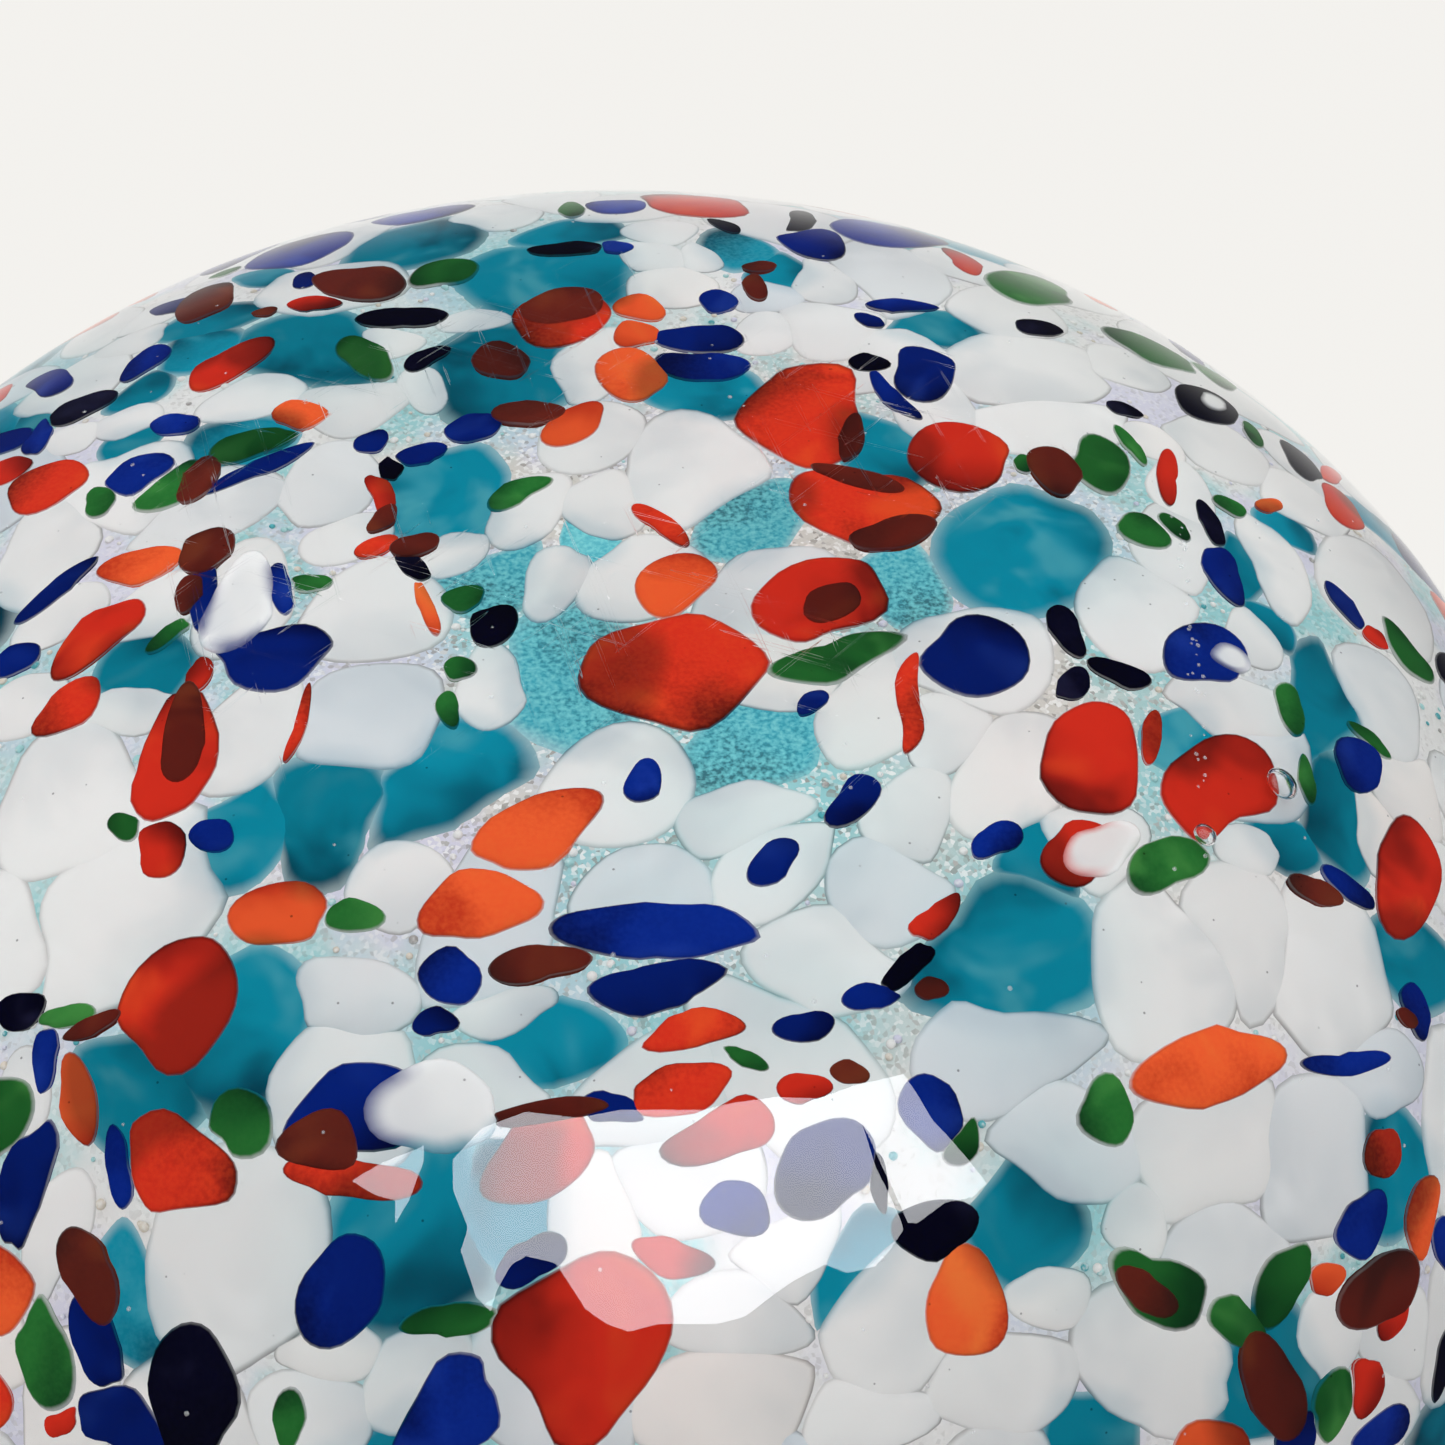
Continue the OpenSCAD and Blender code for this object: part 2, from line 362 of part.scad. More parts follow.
// One flat chip, with its under side at a height above the bed
module flat_chip(c, all, base, t) {
    s = norm(c[0]);
    depth = bed_depth - base;
    rotate([0, 0, around(c[0])])
        translate([wall_radius(s, depth), 0, wall_height(s, depth)])
            rotate([0, 180 - wall_turn(s), 0])
                linear_extrude(t) polygon(outline(c, all));
}

module chip_group(list, all, base, t) {
    for (c = list) flat_chip(chip(c), all, base, t);
}

module outer_casing() {
    color("white", 0.3) wall_layer(0, casing_t);
}

module inner_lining() {
    color("white", 0.3) wall_layer(lining_depth, wall_t);
}

module frit_bed() {
    color("tan") wall_layer(bed_depth, lining_depth);
}

// Round bead over the end of the wall
module rim_lip() {
    color("white", 0.3) rotate_extrude() translate([foot_r, curve_r]) rotate(lip_turn)
        translate([curve_r - wall_t / 2, 0]) intersection() {
            circle(wall_t / 2);
            translate([-wall_t, 0]) square([2 * wall_t, wall_t]);
        }
}

module white_chips() { color("white") chip_group(white_all, deep_chips, deep_base, deep_t); }
module turquoise_chips() { color("darkcyan") chip_group(turquoise_all, deep_chips, deep_base, deep_t); }
module red_chips() { color("red") chip_group(red_all, upper_chips, upper_base, upper_t); }
module orange_chips() { color("orangered") chip_group(orange_all, upper_chips, upper_base, upper_t); }
module cobalt_chips() { color("mediumblue") chip_group(cobalt_all, upper_chips, upper_base, upper_t); }
module navy_chips() { color("midnightblue") chip_group(navy_all, upper_chips, upper_base, upper_t); }
module green_chips() { color("green") chip_group(green_all, upper_chips, upper_base, upper_t); }
module brown_chips() { color("saddlebrown") chip_group(brown_layout, spot_chips, spot_base, spot_t); }
module milk_chips() { color("whitesmoke") chip_group(milk_layout, spot_chips, spot_base, spot_t); }

outer_casing();
rim_lip();
frit_bed();
inner_lining();
white_chips();
turquoise_chips();
red_chips();
orange_chips();
cobalt_chips();
navy_chips();
green_chips();
brown_chips();
milk_chips();
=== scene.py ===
import math
import random

import bpy
import numpy as np
from mathutils import Matrix, Vector, noise


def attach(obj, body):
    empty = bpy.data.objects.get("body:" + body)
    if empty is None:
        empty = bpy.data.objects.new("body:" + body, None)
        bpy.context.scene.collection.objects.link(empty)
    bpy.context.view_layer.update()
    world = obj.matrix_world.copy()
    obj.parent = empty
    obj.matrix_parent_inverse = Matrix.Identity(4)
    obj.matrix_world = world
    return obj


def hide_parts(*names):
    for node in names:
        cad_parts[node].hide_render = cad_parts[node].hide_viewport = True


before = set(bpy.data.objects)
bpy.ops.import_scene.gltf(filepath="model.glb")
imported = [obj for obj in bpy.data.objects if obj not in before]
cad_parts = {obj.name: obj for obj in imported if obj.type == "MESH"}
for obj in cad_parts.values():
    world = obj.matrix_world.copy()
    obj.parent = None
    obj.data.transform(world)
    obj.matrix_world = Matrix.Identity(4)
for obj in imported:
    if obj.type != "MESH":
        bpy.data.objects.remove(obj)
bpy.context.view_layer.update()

bl_info = {
    "name": "Art glass bowl",
    "version": (1, 0, 0),
    "blender": (4, 5, 0),
    "location": "View3D > Sidebar > Glass Bowl",
    "description": "Builds a blown-glass bowl with chips of coloured glass between two clear layers",
    "category": "Add Mesh",
}

TURN = 2 * math.pi
LAYERS = ("pool", "deep", "upper", "spot")

# Steps of the turned pieces: up the curve and across the base, round the axis, and over the lip
BODY_STEPS = (72, 12)
BODY_ROUND = 192
BED_STEPS = (60, 10)
BED_ROUND = 160
LIP_STEPS = 16

# Chip groups: node of the frame, material slot, layer
CHIP_GROUPS = (
    ("white_chips", "white_glass", "deep"),
    ("turquoise_chips", "turquoise_glass", "pool"),
    ("red_chips", "red_glass", "upper"),
    ("orange_chips", "orange_glass", "upper"),
    ("cobalt_chips", "cobalt_glass", "upper"),
    ("navy_chips", "navy_glass", "upper"),
    ("green_chips", "green_glass", "upper"),
    ("brown_chips", "brown_glass", "spot"),
    ("milk_chips", "white_glass", "spot"),
)


class BowlShape(bpy.types.PropertyGroup):
    foot_radius: bpy.props.FloatProperty(
        name="Base radius", description="Radius of the flat base", default=0.030, unit="LENGTH")
    curve_radius: bpy.props.FloatProperty(
        name="Wall curve", description="Radius of the wall's curve from base to lip",
        default=0.060, unit="LENGTH")
    lip_turn: bpy.props.FloatProperty(
        name="Lip turn", description="How far the wall runs on past its widest ring",
        default=math.radians(18), subtype="ANGLE")
    wall: bpy.props.FloatProperty(
        name="Wall thickness", description="Thickness of the whole wall", default=0.0066, unit="LENGTH")
    bed_depth: bpy.props.FloatProperty(
        name="Bed depth", description="Depth of the bed of fine grain under the outer face",
        default=0.0034, unit="LENGTH")
    bed_thickness: bpy.props.FloatProperty(
        name="Bed thickness", description="Thickness of the bed of fine grain",
        default=0.0004, unit="LENGTH")
    bed_margin: bpy.props.FloatProperty(
        name="Clear lip", description="Clear band that the bed leaves below the lip",
        default=0.003, unit="LENGTH")


class BowlColours(bpy.types.PropertyGroup):
    white: bpy.props.FloatVectorProperty(
        name="White", description="Opal white chips",
        default=(0.87, 0.865, 0.85), subtype="COLOR", size=3)
    turquoise: bpy.props.FloatVectorProperty(
        name="Turquoise", description="Turquoise chips",
        default=(0.003, 0.26, 0.37), subtype="COLOR", size=3)
    red: bpy.props.FloatVectorProperty(
        name="Red", description="Red chips", default=(0.68, 0.028, 0.013), subtype="COLOR", size=3)
    orange: bpy.props.FloatVectorProperty(
        name="Orange", description="Orange chips", default=(0.88, 0.105, 0.028), subtype="COLOR", size=3)
    cobalt: bpy.props.FloatVectorProperty(
        name="Cobalt", description="Cobalt blue chips",
        default=(0.001, 0.015, 0.19), subtype="COLOR", size=3)
    navy: bpy.props.FloatVectorProperty(
        name="Navy", description="Nearly black blue chips",
        default=(0.0004, 0.0004, 0.008), subtype="COLOR", size=3)
    green: bpy.props.FloatVectorProperty(
        name="Green", description="Green chips", default=(0.016, 0.13, 0.024), subtype="COLOR", size=3)
    brown: bpy.props.FloatVectorProperty(
        name="Brown", description="Dark places where two colours overlap",
        default=(0.12, 0.016, 0.01), subtype="COLOR", size=3)


class BowlStage(bpy.types.PropertyGroup):
    backdrop: bpy.props.FloatVectorProperty(
        name="Backdrop", description="Colour of the pale backdrop", default=(0.9, 0.885, 0.855),
        subtype="COLOR", size=3)
    high_light: bpy.props.FloatVectorProperty(
        name="Light from the base side", description="Light that falls on the base of the bowl",
        default=(2.1, 2.13, 2.14), subtype="COLOR", size=3, max=4.0)
    low_light: bpy.props.FloatVectorProperty(
        name="Light from the mouth side", description="Light that falls on the lip of the bowl",
        default=(0.44, 0.45, 0.46), subtype="COLOR", size=3, max=4.0)
    top_light: bpy.props.FloatVectorProperty(
        name="Light from above", description="Light that falls into the open bowl",
        default=(2.3, 2.29, 2.26), subtype="COLOR", size=3, max=4.0)
    lens: bpy.props.FloatProperty(
        name="Lens", description="Focal length of the camera on a 36 mm sensor, in millimetres",
        default=63.5)


def shape():
    return bpy.context.scene.bowl_shape


def colours():
    return bpy.context.scene.bowl_colours


def bed_end():
    """Turn of the wall at which the bed of grain ends, below the clear lip."""
    s = shape()
    return math.pi / 2 + s.lip_turn - s.bed_margin / s.curve_radius


def wall_points(points, depth):
    """Points moved straight on to the wall at a depth under its outer face, below the clear lip."""
    foot = shape().foot_radius
    curve = shape().curve_radius
    r = np.hypot(points[:, 0], points[:, 1])
    turn = np.where(r <= foot, 0.0, np.arctan2(r - foot, curve - points[:, 2]))
    turn = np.minimum(turn, bed_end())
    new_r = np.where(r <= foot, r, foot + (curve - depth) * np.sin(turn))
    z = curve - (curve - depth) * np.cos(turn)
    share = new_r / np.maximum(r, 1e-9)
    return np.stack([points[:, 0] * share, points[:, 1] * share, z], axis=1)


def wall_frame(point):
    """The two directions along the wall and the outward normal at a point, as a 3x3 array of rows."""
    foot = shape().foot_radius
    curve = shape().curve_radius
    r = math.hypot(point[0], point[1])
    around = np.array([point[0], point[1], 0.0]) / max(r, 1e-9)
    turn = 0.0 if r <= foot else math.atan2(r - foot, curve - point[2])
    up = np.array([0.0, 0.0, 1.0])
    normal = around * math.sin(turn) - up * math.cos(turn)
    along = around * math.cos(turn) + up * math.sin(turn)
    return np.array([along, np.cross(normal, along), normal])


def layout_points(places, depth):
    """Points on the wall for places in the flat layout, in millimetres from the middle of the base."""
    foot = shape().foot_radius
    curve = shape().curve_radius
    places = np.asarray(places, dtype=float)
    s = np.hypot(places[:, 0], places[:, 1]) / 1000
    turn = np.maximum(s - foot, 0.0) / curve
    r = np.minimum(s, foot) + (curve - depth) * np.sin(turn)
    a = np.arctan2(places[:, 1], -places[:, 0])
    return np.stack([r * np.cos(a), r * np.sin(a), curve - (curve - depth) * np.cos(turn)], axis=1)


def layout_point(x, y, depth):
    return layout_points([(x, y)], depth)[0]


def make_object(name, verts, faces, material, smooth=True):
    mesh = bpy.data.meshes.new(name)
    mesh.from_pydata([tuple(v) for v in verts], [], faces)
    mesh.update()
    mesh.validate()
    if smooth:
        mesh.polygons.foreach_set("use_smooth", [True] * len(mesh.polygons))
    obj = bpy.data.objects.new(name, mesh)
    bpy.context.scene.collection.objects.link(obj)
    if material:
        mesh.materials.append(material)
    return obj


def lathe(profile, steps):
    """Vertices and faces of a profile of (radius, height), drawn anticlockwise and turned about Z."""
    turns = [TURN * k / steps for k in range(steps)]
    verts = []
    faces = []
    rows = []
    for r, z in profile:
        if r < 1e-9:
            rows.append([len(verts)])
            verts.append((0.0, 0.0, z))
        else:
            rows.append(list(range(len(verts), len(verts) + steps)))
            verts.extend((r * math.cos(t), r * math.sin(t), z) for t in turns)
    for low, high in zip(rows, rows[1:]):
        for k in range(steps):
            n = (k + 1) % steps
            if len(low) == 1:
                faces.append((low[0], high[n], high[k]))
            elif len(high) == 1:
                faces.append((low[k], low[n], high[0]))
            else:
                faces.append((low[k], low[n], high[n], high[k]))
    return verts, faces


def wall_profile(depth, end_turn, steps, flat_steps):
    """Profile of a wall face at a depth, from the middle of the base up to a turn past the vertical."""
    foot = shape().foot_radius
    curve = shape().curve_radius
    flat = [(foot * k / flat_steps, depth) for k in range(flat_steps + 1)]
    bend = []
    for k in range(1, steps + 1):
        t = end_turn * k / steps
        bend.append((foot + (curve - depth) * math.sin(t), curve - (curve - depth) * math.cos(t)))
    return flat + bend


def node(tree, kind, place, **values):
    made = tree.nodes.new(kind)
    made.location = place
    for key, value in values.items():
        if key.startswith("in_"):
            made.inputs[key[3:].replace("_", " ")].default_value = value
        else:
            setattr(made, key, value)
    return made


def mix_colour(tree, place, first, second, factor):
    made = node(tree, "ShaderNodeMix", place, data_type="RGBA")
    for socket, value in ((made.inputs[0], factor), (made.inputs[6], first), (made.inputs[7], second)):
        if isinstance(value, bpy.types.NodeSocket):
            tree.links.new(value, socket)
        elif isinstance(value, (int, float)):
            socket.default_value = value
        else:
            socket.default_value = (*value, 1.0)
    return made.outputs[2]


def map_range(tree, place, value, low, high, to_low=0.0, to_high=1.0, smooth=True):
    made = node(tree, "ShaderNodeMapRange", place)
    made.interpolation_type = "SMOOTHSTEP" if smooth else "LINEAR"
    tree.links.new(value, made.inputs["Value"])
    for name, item in (("From Min", low), ("From Max", high), ("To Min", to_low), ("To Max", to_high)):
        if isinstance(item, bpy.types.NodeSocket):
            tree.links.new(item, made.inputs[name])
        else:
            made.inputs[name].default_value = item
    return made.outputs["Result"]


def math_node(tree, place, operation, first, second):
    made = node(tree, "ShaderNodeMath", place, operation=operation)
    for socket, value in zip(made.inputs, (first, second)):
        if isinstance(value, bpy.types.NodeSocket):
            tree.links.new(value, socket)
        else:
            socket.default_value = value
    return made.outputs[0]


def melted_tint_group():
    """Colour of a melted chip: painted shade on one side, grain, painted glow, what shows through it,
    and its rim with a dark line that is partly painted shade.
    """
    group = bpy.data.node_groups.get("Melted tint")
    if group:
        return group
    group = bpy.data.node_groups.new("Melted tint", "ShaderNodeTree")
    face = group.interface
    for name, kind, default in (
        # The first two colours are a shaded and a lit copy of the chip's colour, for the painted shade
        # across it
        ("Shaded colour", "NodeSocketColor", (0.6, 0.6, 0.6, 1)),
        ("Lit colour", "NodeSocketColor", (0.8, 0.8, 0.8, 1)),
        ("Fleck and glow", "NodeSocketColor", (0.9, 0.9, 0.9, 1)),
        ("Rim width", "NodeSocketFloat", 0.05),
        ("Rim strength", "NodeSocketFloat", 0.5),
        ("Outline", "NodeSocketFloat", 0.3),
        ("Grain", "NodeSocketFloat", 0.2),
        ("Glow", "NodeSocketFloat", 0.45),
        ("See through", "NodeSocketFloat", 0.5),
        ("Lot spread", "NodeSocketFloat", 0.15),
    ):
        face.new_socket(name=name, in_out="INPUT", socket_type=kind).default_value = default
    face.new_socket(name="Color", in_out="OUTPUT", socket_type="NodeSocketColor")
    inside = node(group, "NodeGroupInput", (-1500, 0))
    outside = node(group, "NodeGroupOutput", (1100, 0))
    where = node(group, "ShaderNodeTexCoord", (-1500, -400))
    rim = node(group, "ShaderNodeAttribute", (-1500, 300), attribute_name="rim")
    lot = node(group, "ShaderNodeAttribute", (-1500, 500), attribute_name="lot")
    # Painted shade: how far each point lies towards the chip's lit side (1) from its shaded side (0)
    shade_side = node(group, "ShaderNodeAttribute", (-1500, 700), attribute_name="shade_side")
    under = node(group, "ShaderNodeAttribute", (-1500, 900), attribute_name="under")
    cloud = node(group, "ShaderNodeTexNoise", (-1250, -300), noise_dimensions="4D")
    cloud.inputs["Scale"].default_value = 130
    cloud.inputs["Detail"].default_value = 2
    cloud.inputs["Distortion"].default_value = 0.7
    group.links.new(where.outputs["Object"], cloud.inputs["Vector"])
    cloud_of_lot = math_node(group, (-1350, -250), "MULTIPLY", lot.outputs["Fac"], 30.0)
    group.links.new(cloud_of_lot, cloud.inputs["W"])
    grain = node(group, "ShaderNodeTexNoise", (-1250, -650))
    grain.inputs["Scale"].default_value = 2600
    grain.inputs["Detail"].default_value = 2
    group.links.new(where.outputs["Object"], grain.inputs["Vector"])
    drift = map_range(group, (-1000, -300), cloud.outputs["Fac"], 0.25, 0.75, -0.35, 0.35, smooth=False)
    # Painted shade across the chip, from its shaded to its lit side, with random mottling from the cloud
    share = math_node(group, (-820, -250), "ADD", shade_side.outputs["Fac"], drift)
    speck = map_range(group, (-1000, -650), grain.outputs["Fac"], 0.3, 0.7, -1.0, 1.0, smooth=False)
    grainy = map_range(group, (-1000, -850), lot.outputs["Fac"], 0.5, 0.65)
    grainy = math_node(group, (-820, -850), "MULTIPLY", grainy, inside.outputs["Grain"])
    ripple = math_node(group, (-650, -450), "MULTIPLY", speck, grainy)
    ripple = math_node(group, (-560, -450), "MULTIPLY", ripple, 0.3)
    share = math_node(group, (-650, -250), "ADD", share, ripple)
    share = map_range(group, (-480, -250), share, -0.1, 0.6)
    toned = mix_colour(group, (-300, -100), inside.outputs["Shaded colour"], inside.outputs["Lit colour"], share)
    fleck = map_range(group, (-650, -650), speck, -0.7, 0.9, 0.2, 0.8, smooth=False)
    fleck = math_node(group, (-480, -650), "MULTIPLY", fleck, grainy)
    toned = mix_colour(group, (-200, -300), toned, inside.outputs["Fleck and glow"], fleck)
    # Painted glow: brighter cloudy patches inside the chip, in the fleck colour
    glow = map_range(group, (-480, -850), cloud.outputs["Fac"], 0.52, 0.75, 0.0, inside.outputs["Glow"])
    toned = mix_colour(group, (-150, -500), toned, inside.outputs["Fleck and glow"], glow)
    level = map_range(group, (-820, 500), lot.outputs["Fac"], 0.0, 1.0, -1.0, 1.0, smooth=False)
    level = math_node(group, (-650, 500), "MULTIPLY", level, inside.outputs["Lot spread"])
    dust = node(group, "ShaderNodeTexVoronoi", (-1250, -1000))
    dust.inputs["Scale"].default_value = 800
    group.links.new(where.outputs["Object"], dust.inputs["Vector"])
    few = node(group, "ShaderNodeSeparateColor", (-1000, -1050))
    group.links.new(dust.outputs["Color"], few.inputs["Color"])
    dot = map_range(group, (-820, -1000), dust.outputs["Distance"], 0.05, 0.1, 0.6, 0.0)
    dot = math_node(group, (-650, -1000), "MULTIPLY", dot,
                    map_range(group, (-820, -1200), few.outputs["Red"], 0.82, 0.86))
    level_dust = math_node(group, (-480, -1000), "SUBTRACT", 1.0, dot)
    bright = node(group, "ShaderNodeHueSaturation", (-100, 100))
    group.links.new(toned, bright.inputs["Color"])
    level = math_node(group, (-480, 400), "ADD", level, 1.0)
    group.links.new(math_node(group, (-300, 400), "MULTIPLY", level, level_dust), bright.inputs["Value"])
    filtered = node(group, "ShaderNodeMix", (100, 250), data_type="RGBA", blend_type="MULTIPLY")
    group.links.new(inside.outputs["See through"], filtered.inputs[0])
    group.links.new(bright.outputs["Color"], filtered.inputs[6])
    group.links.new(under.outputs["Color"], filtered.inputs[7])
    wobble = map_range(group, (-1000, 100), cloud.outputs["Fac"], 0.25, 0.75, -0.3, 0.3, smooth=False)
    wobble = math_node(group, (-820, 100), "MULTIPLY", wobble, inside.outputs["Rim width"])
    reach = math_node(group, (-650, 150), "ADD", rim.outputs["Fac"], wobble)
    fade = map_range(group, (-480, 250), reach, 0.0, inside.outputs["Rim width"], 1.0, 0.0)
    # A dark line along the rim: partly a dark seam between chips and partly painted shade, heavier on
    # the chip's shaded side
    dark = map_range(group, (-480, 700), rim.outputs["Fac"], 0.01, 0.09, 1.0, 0.0)
    side = map_range(group, (-480, 900), shade_side.outputs["Fac"], 0.65, 0.25, 0.4, 1.0)
    dark = math_node(group, (-300, 750), "MULTIPLY", dark, side)
    dark = math_node(group, (-120, 750), "MULTIPLY", dark, inside.outputs["Outline"])
    lined = node(group, "ShaderNodeHueSaturation", (300, 400))
    group.links.new(filtered.outputs[2], lined.inputs["Color"])
    group.links.new(math_node(group, (60, 750), "SUBTRACT", 1.0, dark), lined.inputs["Value"])
    fade = math_node(group, (-300, 300), "MULTIPLY", fade, inside.outputs["Rim strength"])
    out = mix_colour(group, (700, 0), lined.outputs["Color"], under.outputs["Color"], fade)
    group.links.new(out, outside.inputs["Color"])
    return group


def plain_material(name):
    material = bpy.data.materials.new(name)
    material.use_nodes = True
    return material, material.node_tree, material.node_tree.nodes["Principled BSDF"]


def chip_material(name, shaded_colour, lit_colour, fleck, **values):
    """A chip's finish: its shaded and lit colours for the painted shade across it, its flecks and
    painted glow, and values of the shared tint.
    """
    material, tree, shader = plain_material(name)
    group = node(tree, "ShaderNodeGroup", (-500, 200))
    group.node_tree = melted_tint_group()
    group.inputs["Shaded colour"].default_value = (*shaded_colour, 1.0)
    group.inputs["Lit colour"].default_value = (*lit_colour, 1.0)
    group.inputs["Fleck and glow"].default_value = (*fleck, 1.0)
    for key, value in values.items():
        group.inputs[key.replace("_", " ").capitalize()].default_value = value
    tree.links.new(group.outputs["Color"], shader.inputs["Base Color"])
    shader.inputs["Roughness"].default_value = 0.6
    shader.inputs["Specular IOR Level"].default_value = 0.0
    return material


def stray_tint(material):
    """Turns a few chips of a white material a little blue and a few a little pink."""
    tree = material.node_tree
    shader = tree.nodes["Principled BSDF"]
    plain = shader.inputs["Base Color"].links[0].from_socket
    lot = node(tree, "ShaderNodeAttribute", (-800, -100), attribute_name="lot")
    ramp = node(tree, "ShaderNodeValToRGB", (-600, -100))
    stops = ramp.color_ramp.elements
    stops[0].color = (0.88, 0.94, 1.0, 1.0)
    stops[1].color = (1.0, 0.94, 0.91, 1.0)
    for place in (0.16, 0.86):
        stops.new(place).color = (1.0, 1.0, 1.0, 1.0)
    tree.links.new(lot.outputs["Fac"], ramp.inputs["Fac"])
    tinted = node(tree, "ShaderNodeMix", (-250, 100), data_type="RGBA", blend_type="MULTIPLY")
    tinted.inputs[0].default_value = 1.0
    tree.links.new(plain, tinted.inputs[6])
    tree.links.new(ramp.outputs["Color"], tinted.inputs[7])
    tree.links.new(tinted.outputs[2], shader.inputs["Base Color"])
    return material


def chip_islands(obj):
    """The separate chips of a node: for each, its middle on the wall and its outline along the wall."""
    mesh = obj.data
    co = np.empty(len(mesh.vertices) * 3)
    mesh.vertices.foreach_get("co", co)
    co = co.reshape(-1, 3)
    mesh.calc_loop_triangles()
    tri = np.empty(len(mesh.loop_triangles) * 3, dtype=np.int64)
    mesh.loop_triangles.foreach_get("vertices", tri)
    tri = tri.reshape(-1, 3)
    keys, same = np.unique(np.round(co * 2e6).astype(np.int64), axis=0, return_inverse=True)
    same = same.reshape(-1)
    owner = list(range(len(keys)))

    def root(k):
        while owner[k] != k:
            owner[k] = owner[owner[k]]
            k = owner[k]
        return k

    for a, b, c in same[tri]:
        ra = root(a)
        owner[root(b)] = ra
        owner[root(c)] = ra
    members = {}
    for k in range(len(keys)):
        members.setdefault(root(k), []).append(k)
    found = []
    for group in members.values():
        pts = keys[group] / 2e6
        middle = pts.mean(axis=0)
        axes = wall_frame(middle)
        local = (pts - middle) @ axes.T
        face = local[local[:, 2] > 0][:, :2]
        order = np.argsort(np.arctan2(face[:, 1], face[:, 0]))
        found.append((middle, axes, face[order]))
    found.sort(key=lambda item: (round(item[0][2], 5), round(item[0][0], 5), round(item[0][1], 5)))
    return found


def smooth_ring(points, per_side):
    """A closed curve through a chip's corners."""
    ring = []
    n = len(points)
    for k in range(n):
        a, b, c, d = (points[(k + j) % n] for j in (-1, 0, 1, 2))
        for i in range(per_side):
            t = i / per_side
            ring.append(0.5 * ((2 * b) + (c - a) * t + (2 * a - 5 * b + 4 * c - d) * t * t
                               + (3 * b - a - 3 * c + d) * t ** 3))
    return np.array(ring)


# Depth of a chip's edge and how far it swells out and in from there, in metres, for each layer
SWELL = {
    "pool": (0.00345, 0.00013, 0.0006),
    "deep": (0.0035, 0.00055, 0.0007),
    "upper": (0.00285, 0.00055, 0.0019),
    "spot": (0.0022, 0.0003, 0.0026),
}
# How far a melted chip spreads past its flat outline, in metres
SPREAD = {"pool": 0.0014, "deep": 0.0006, "upper": 0.0001, "spot": 0.0001}
OUTER_RINGS = (0.95, 0.86, 0.72, 0.54, 0.36, 0.18)
INNER_RINGS = (0.9, 0.5)
# Middle and size of the part of the base where the turquoise is grainy, in the layout, in millimetres
GRAINY_PLACE = (9, -14)
GRAINY_REACH = 24


# How far the molten glass drags a chip's outline, in metres, and the size of its swirls
FLOW = {"pool": 0.0022, "deep": 0.0014, "upper": 0.0013, "spot": 0.001}
SWIRL = 0.0068
# Waves round a chip's outline: how many and how high, as a share of its size, and each layer's share
WAVES = ((1, 0.05), (2, 0.055), (3, 0.055), (4, 0.03), (5, 0.02))
WAVE_SHARE = {"pool": 0.5, "deep": 0.6, "upper": 1.0, "spot": 1.0}
# How far the long end of a chip is drawn out to a tip, as shares of its length, drawn at random
TIPS = (0.0, 0.0, 0.0, 0.12, 0.22)


# Where the three parts of the flow are read in the noise, which has no seed of its own
FLOW_STARTS = (Vector((4.0, 7.0, 2.0)), Vector((17.3, 5.1, 9.7)), Vector((3.9, 21.4, 13.2)))


def flow(points, reach):
    """How far the molten glass drags each point, as an array of moves, the same in every run."""
    read = [[noise.noise(Vector(p) / SWIRL + start) for start in FLOW_STARTS] for p in points]
    return np.array(read) * reach


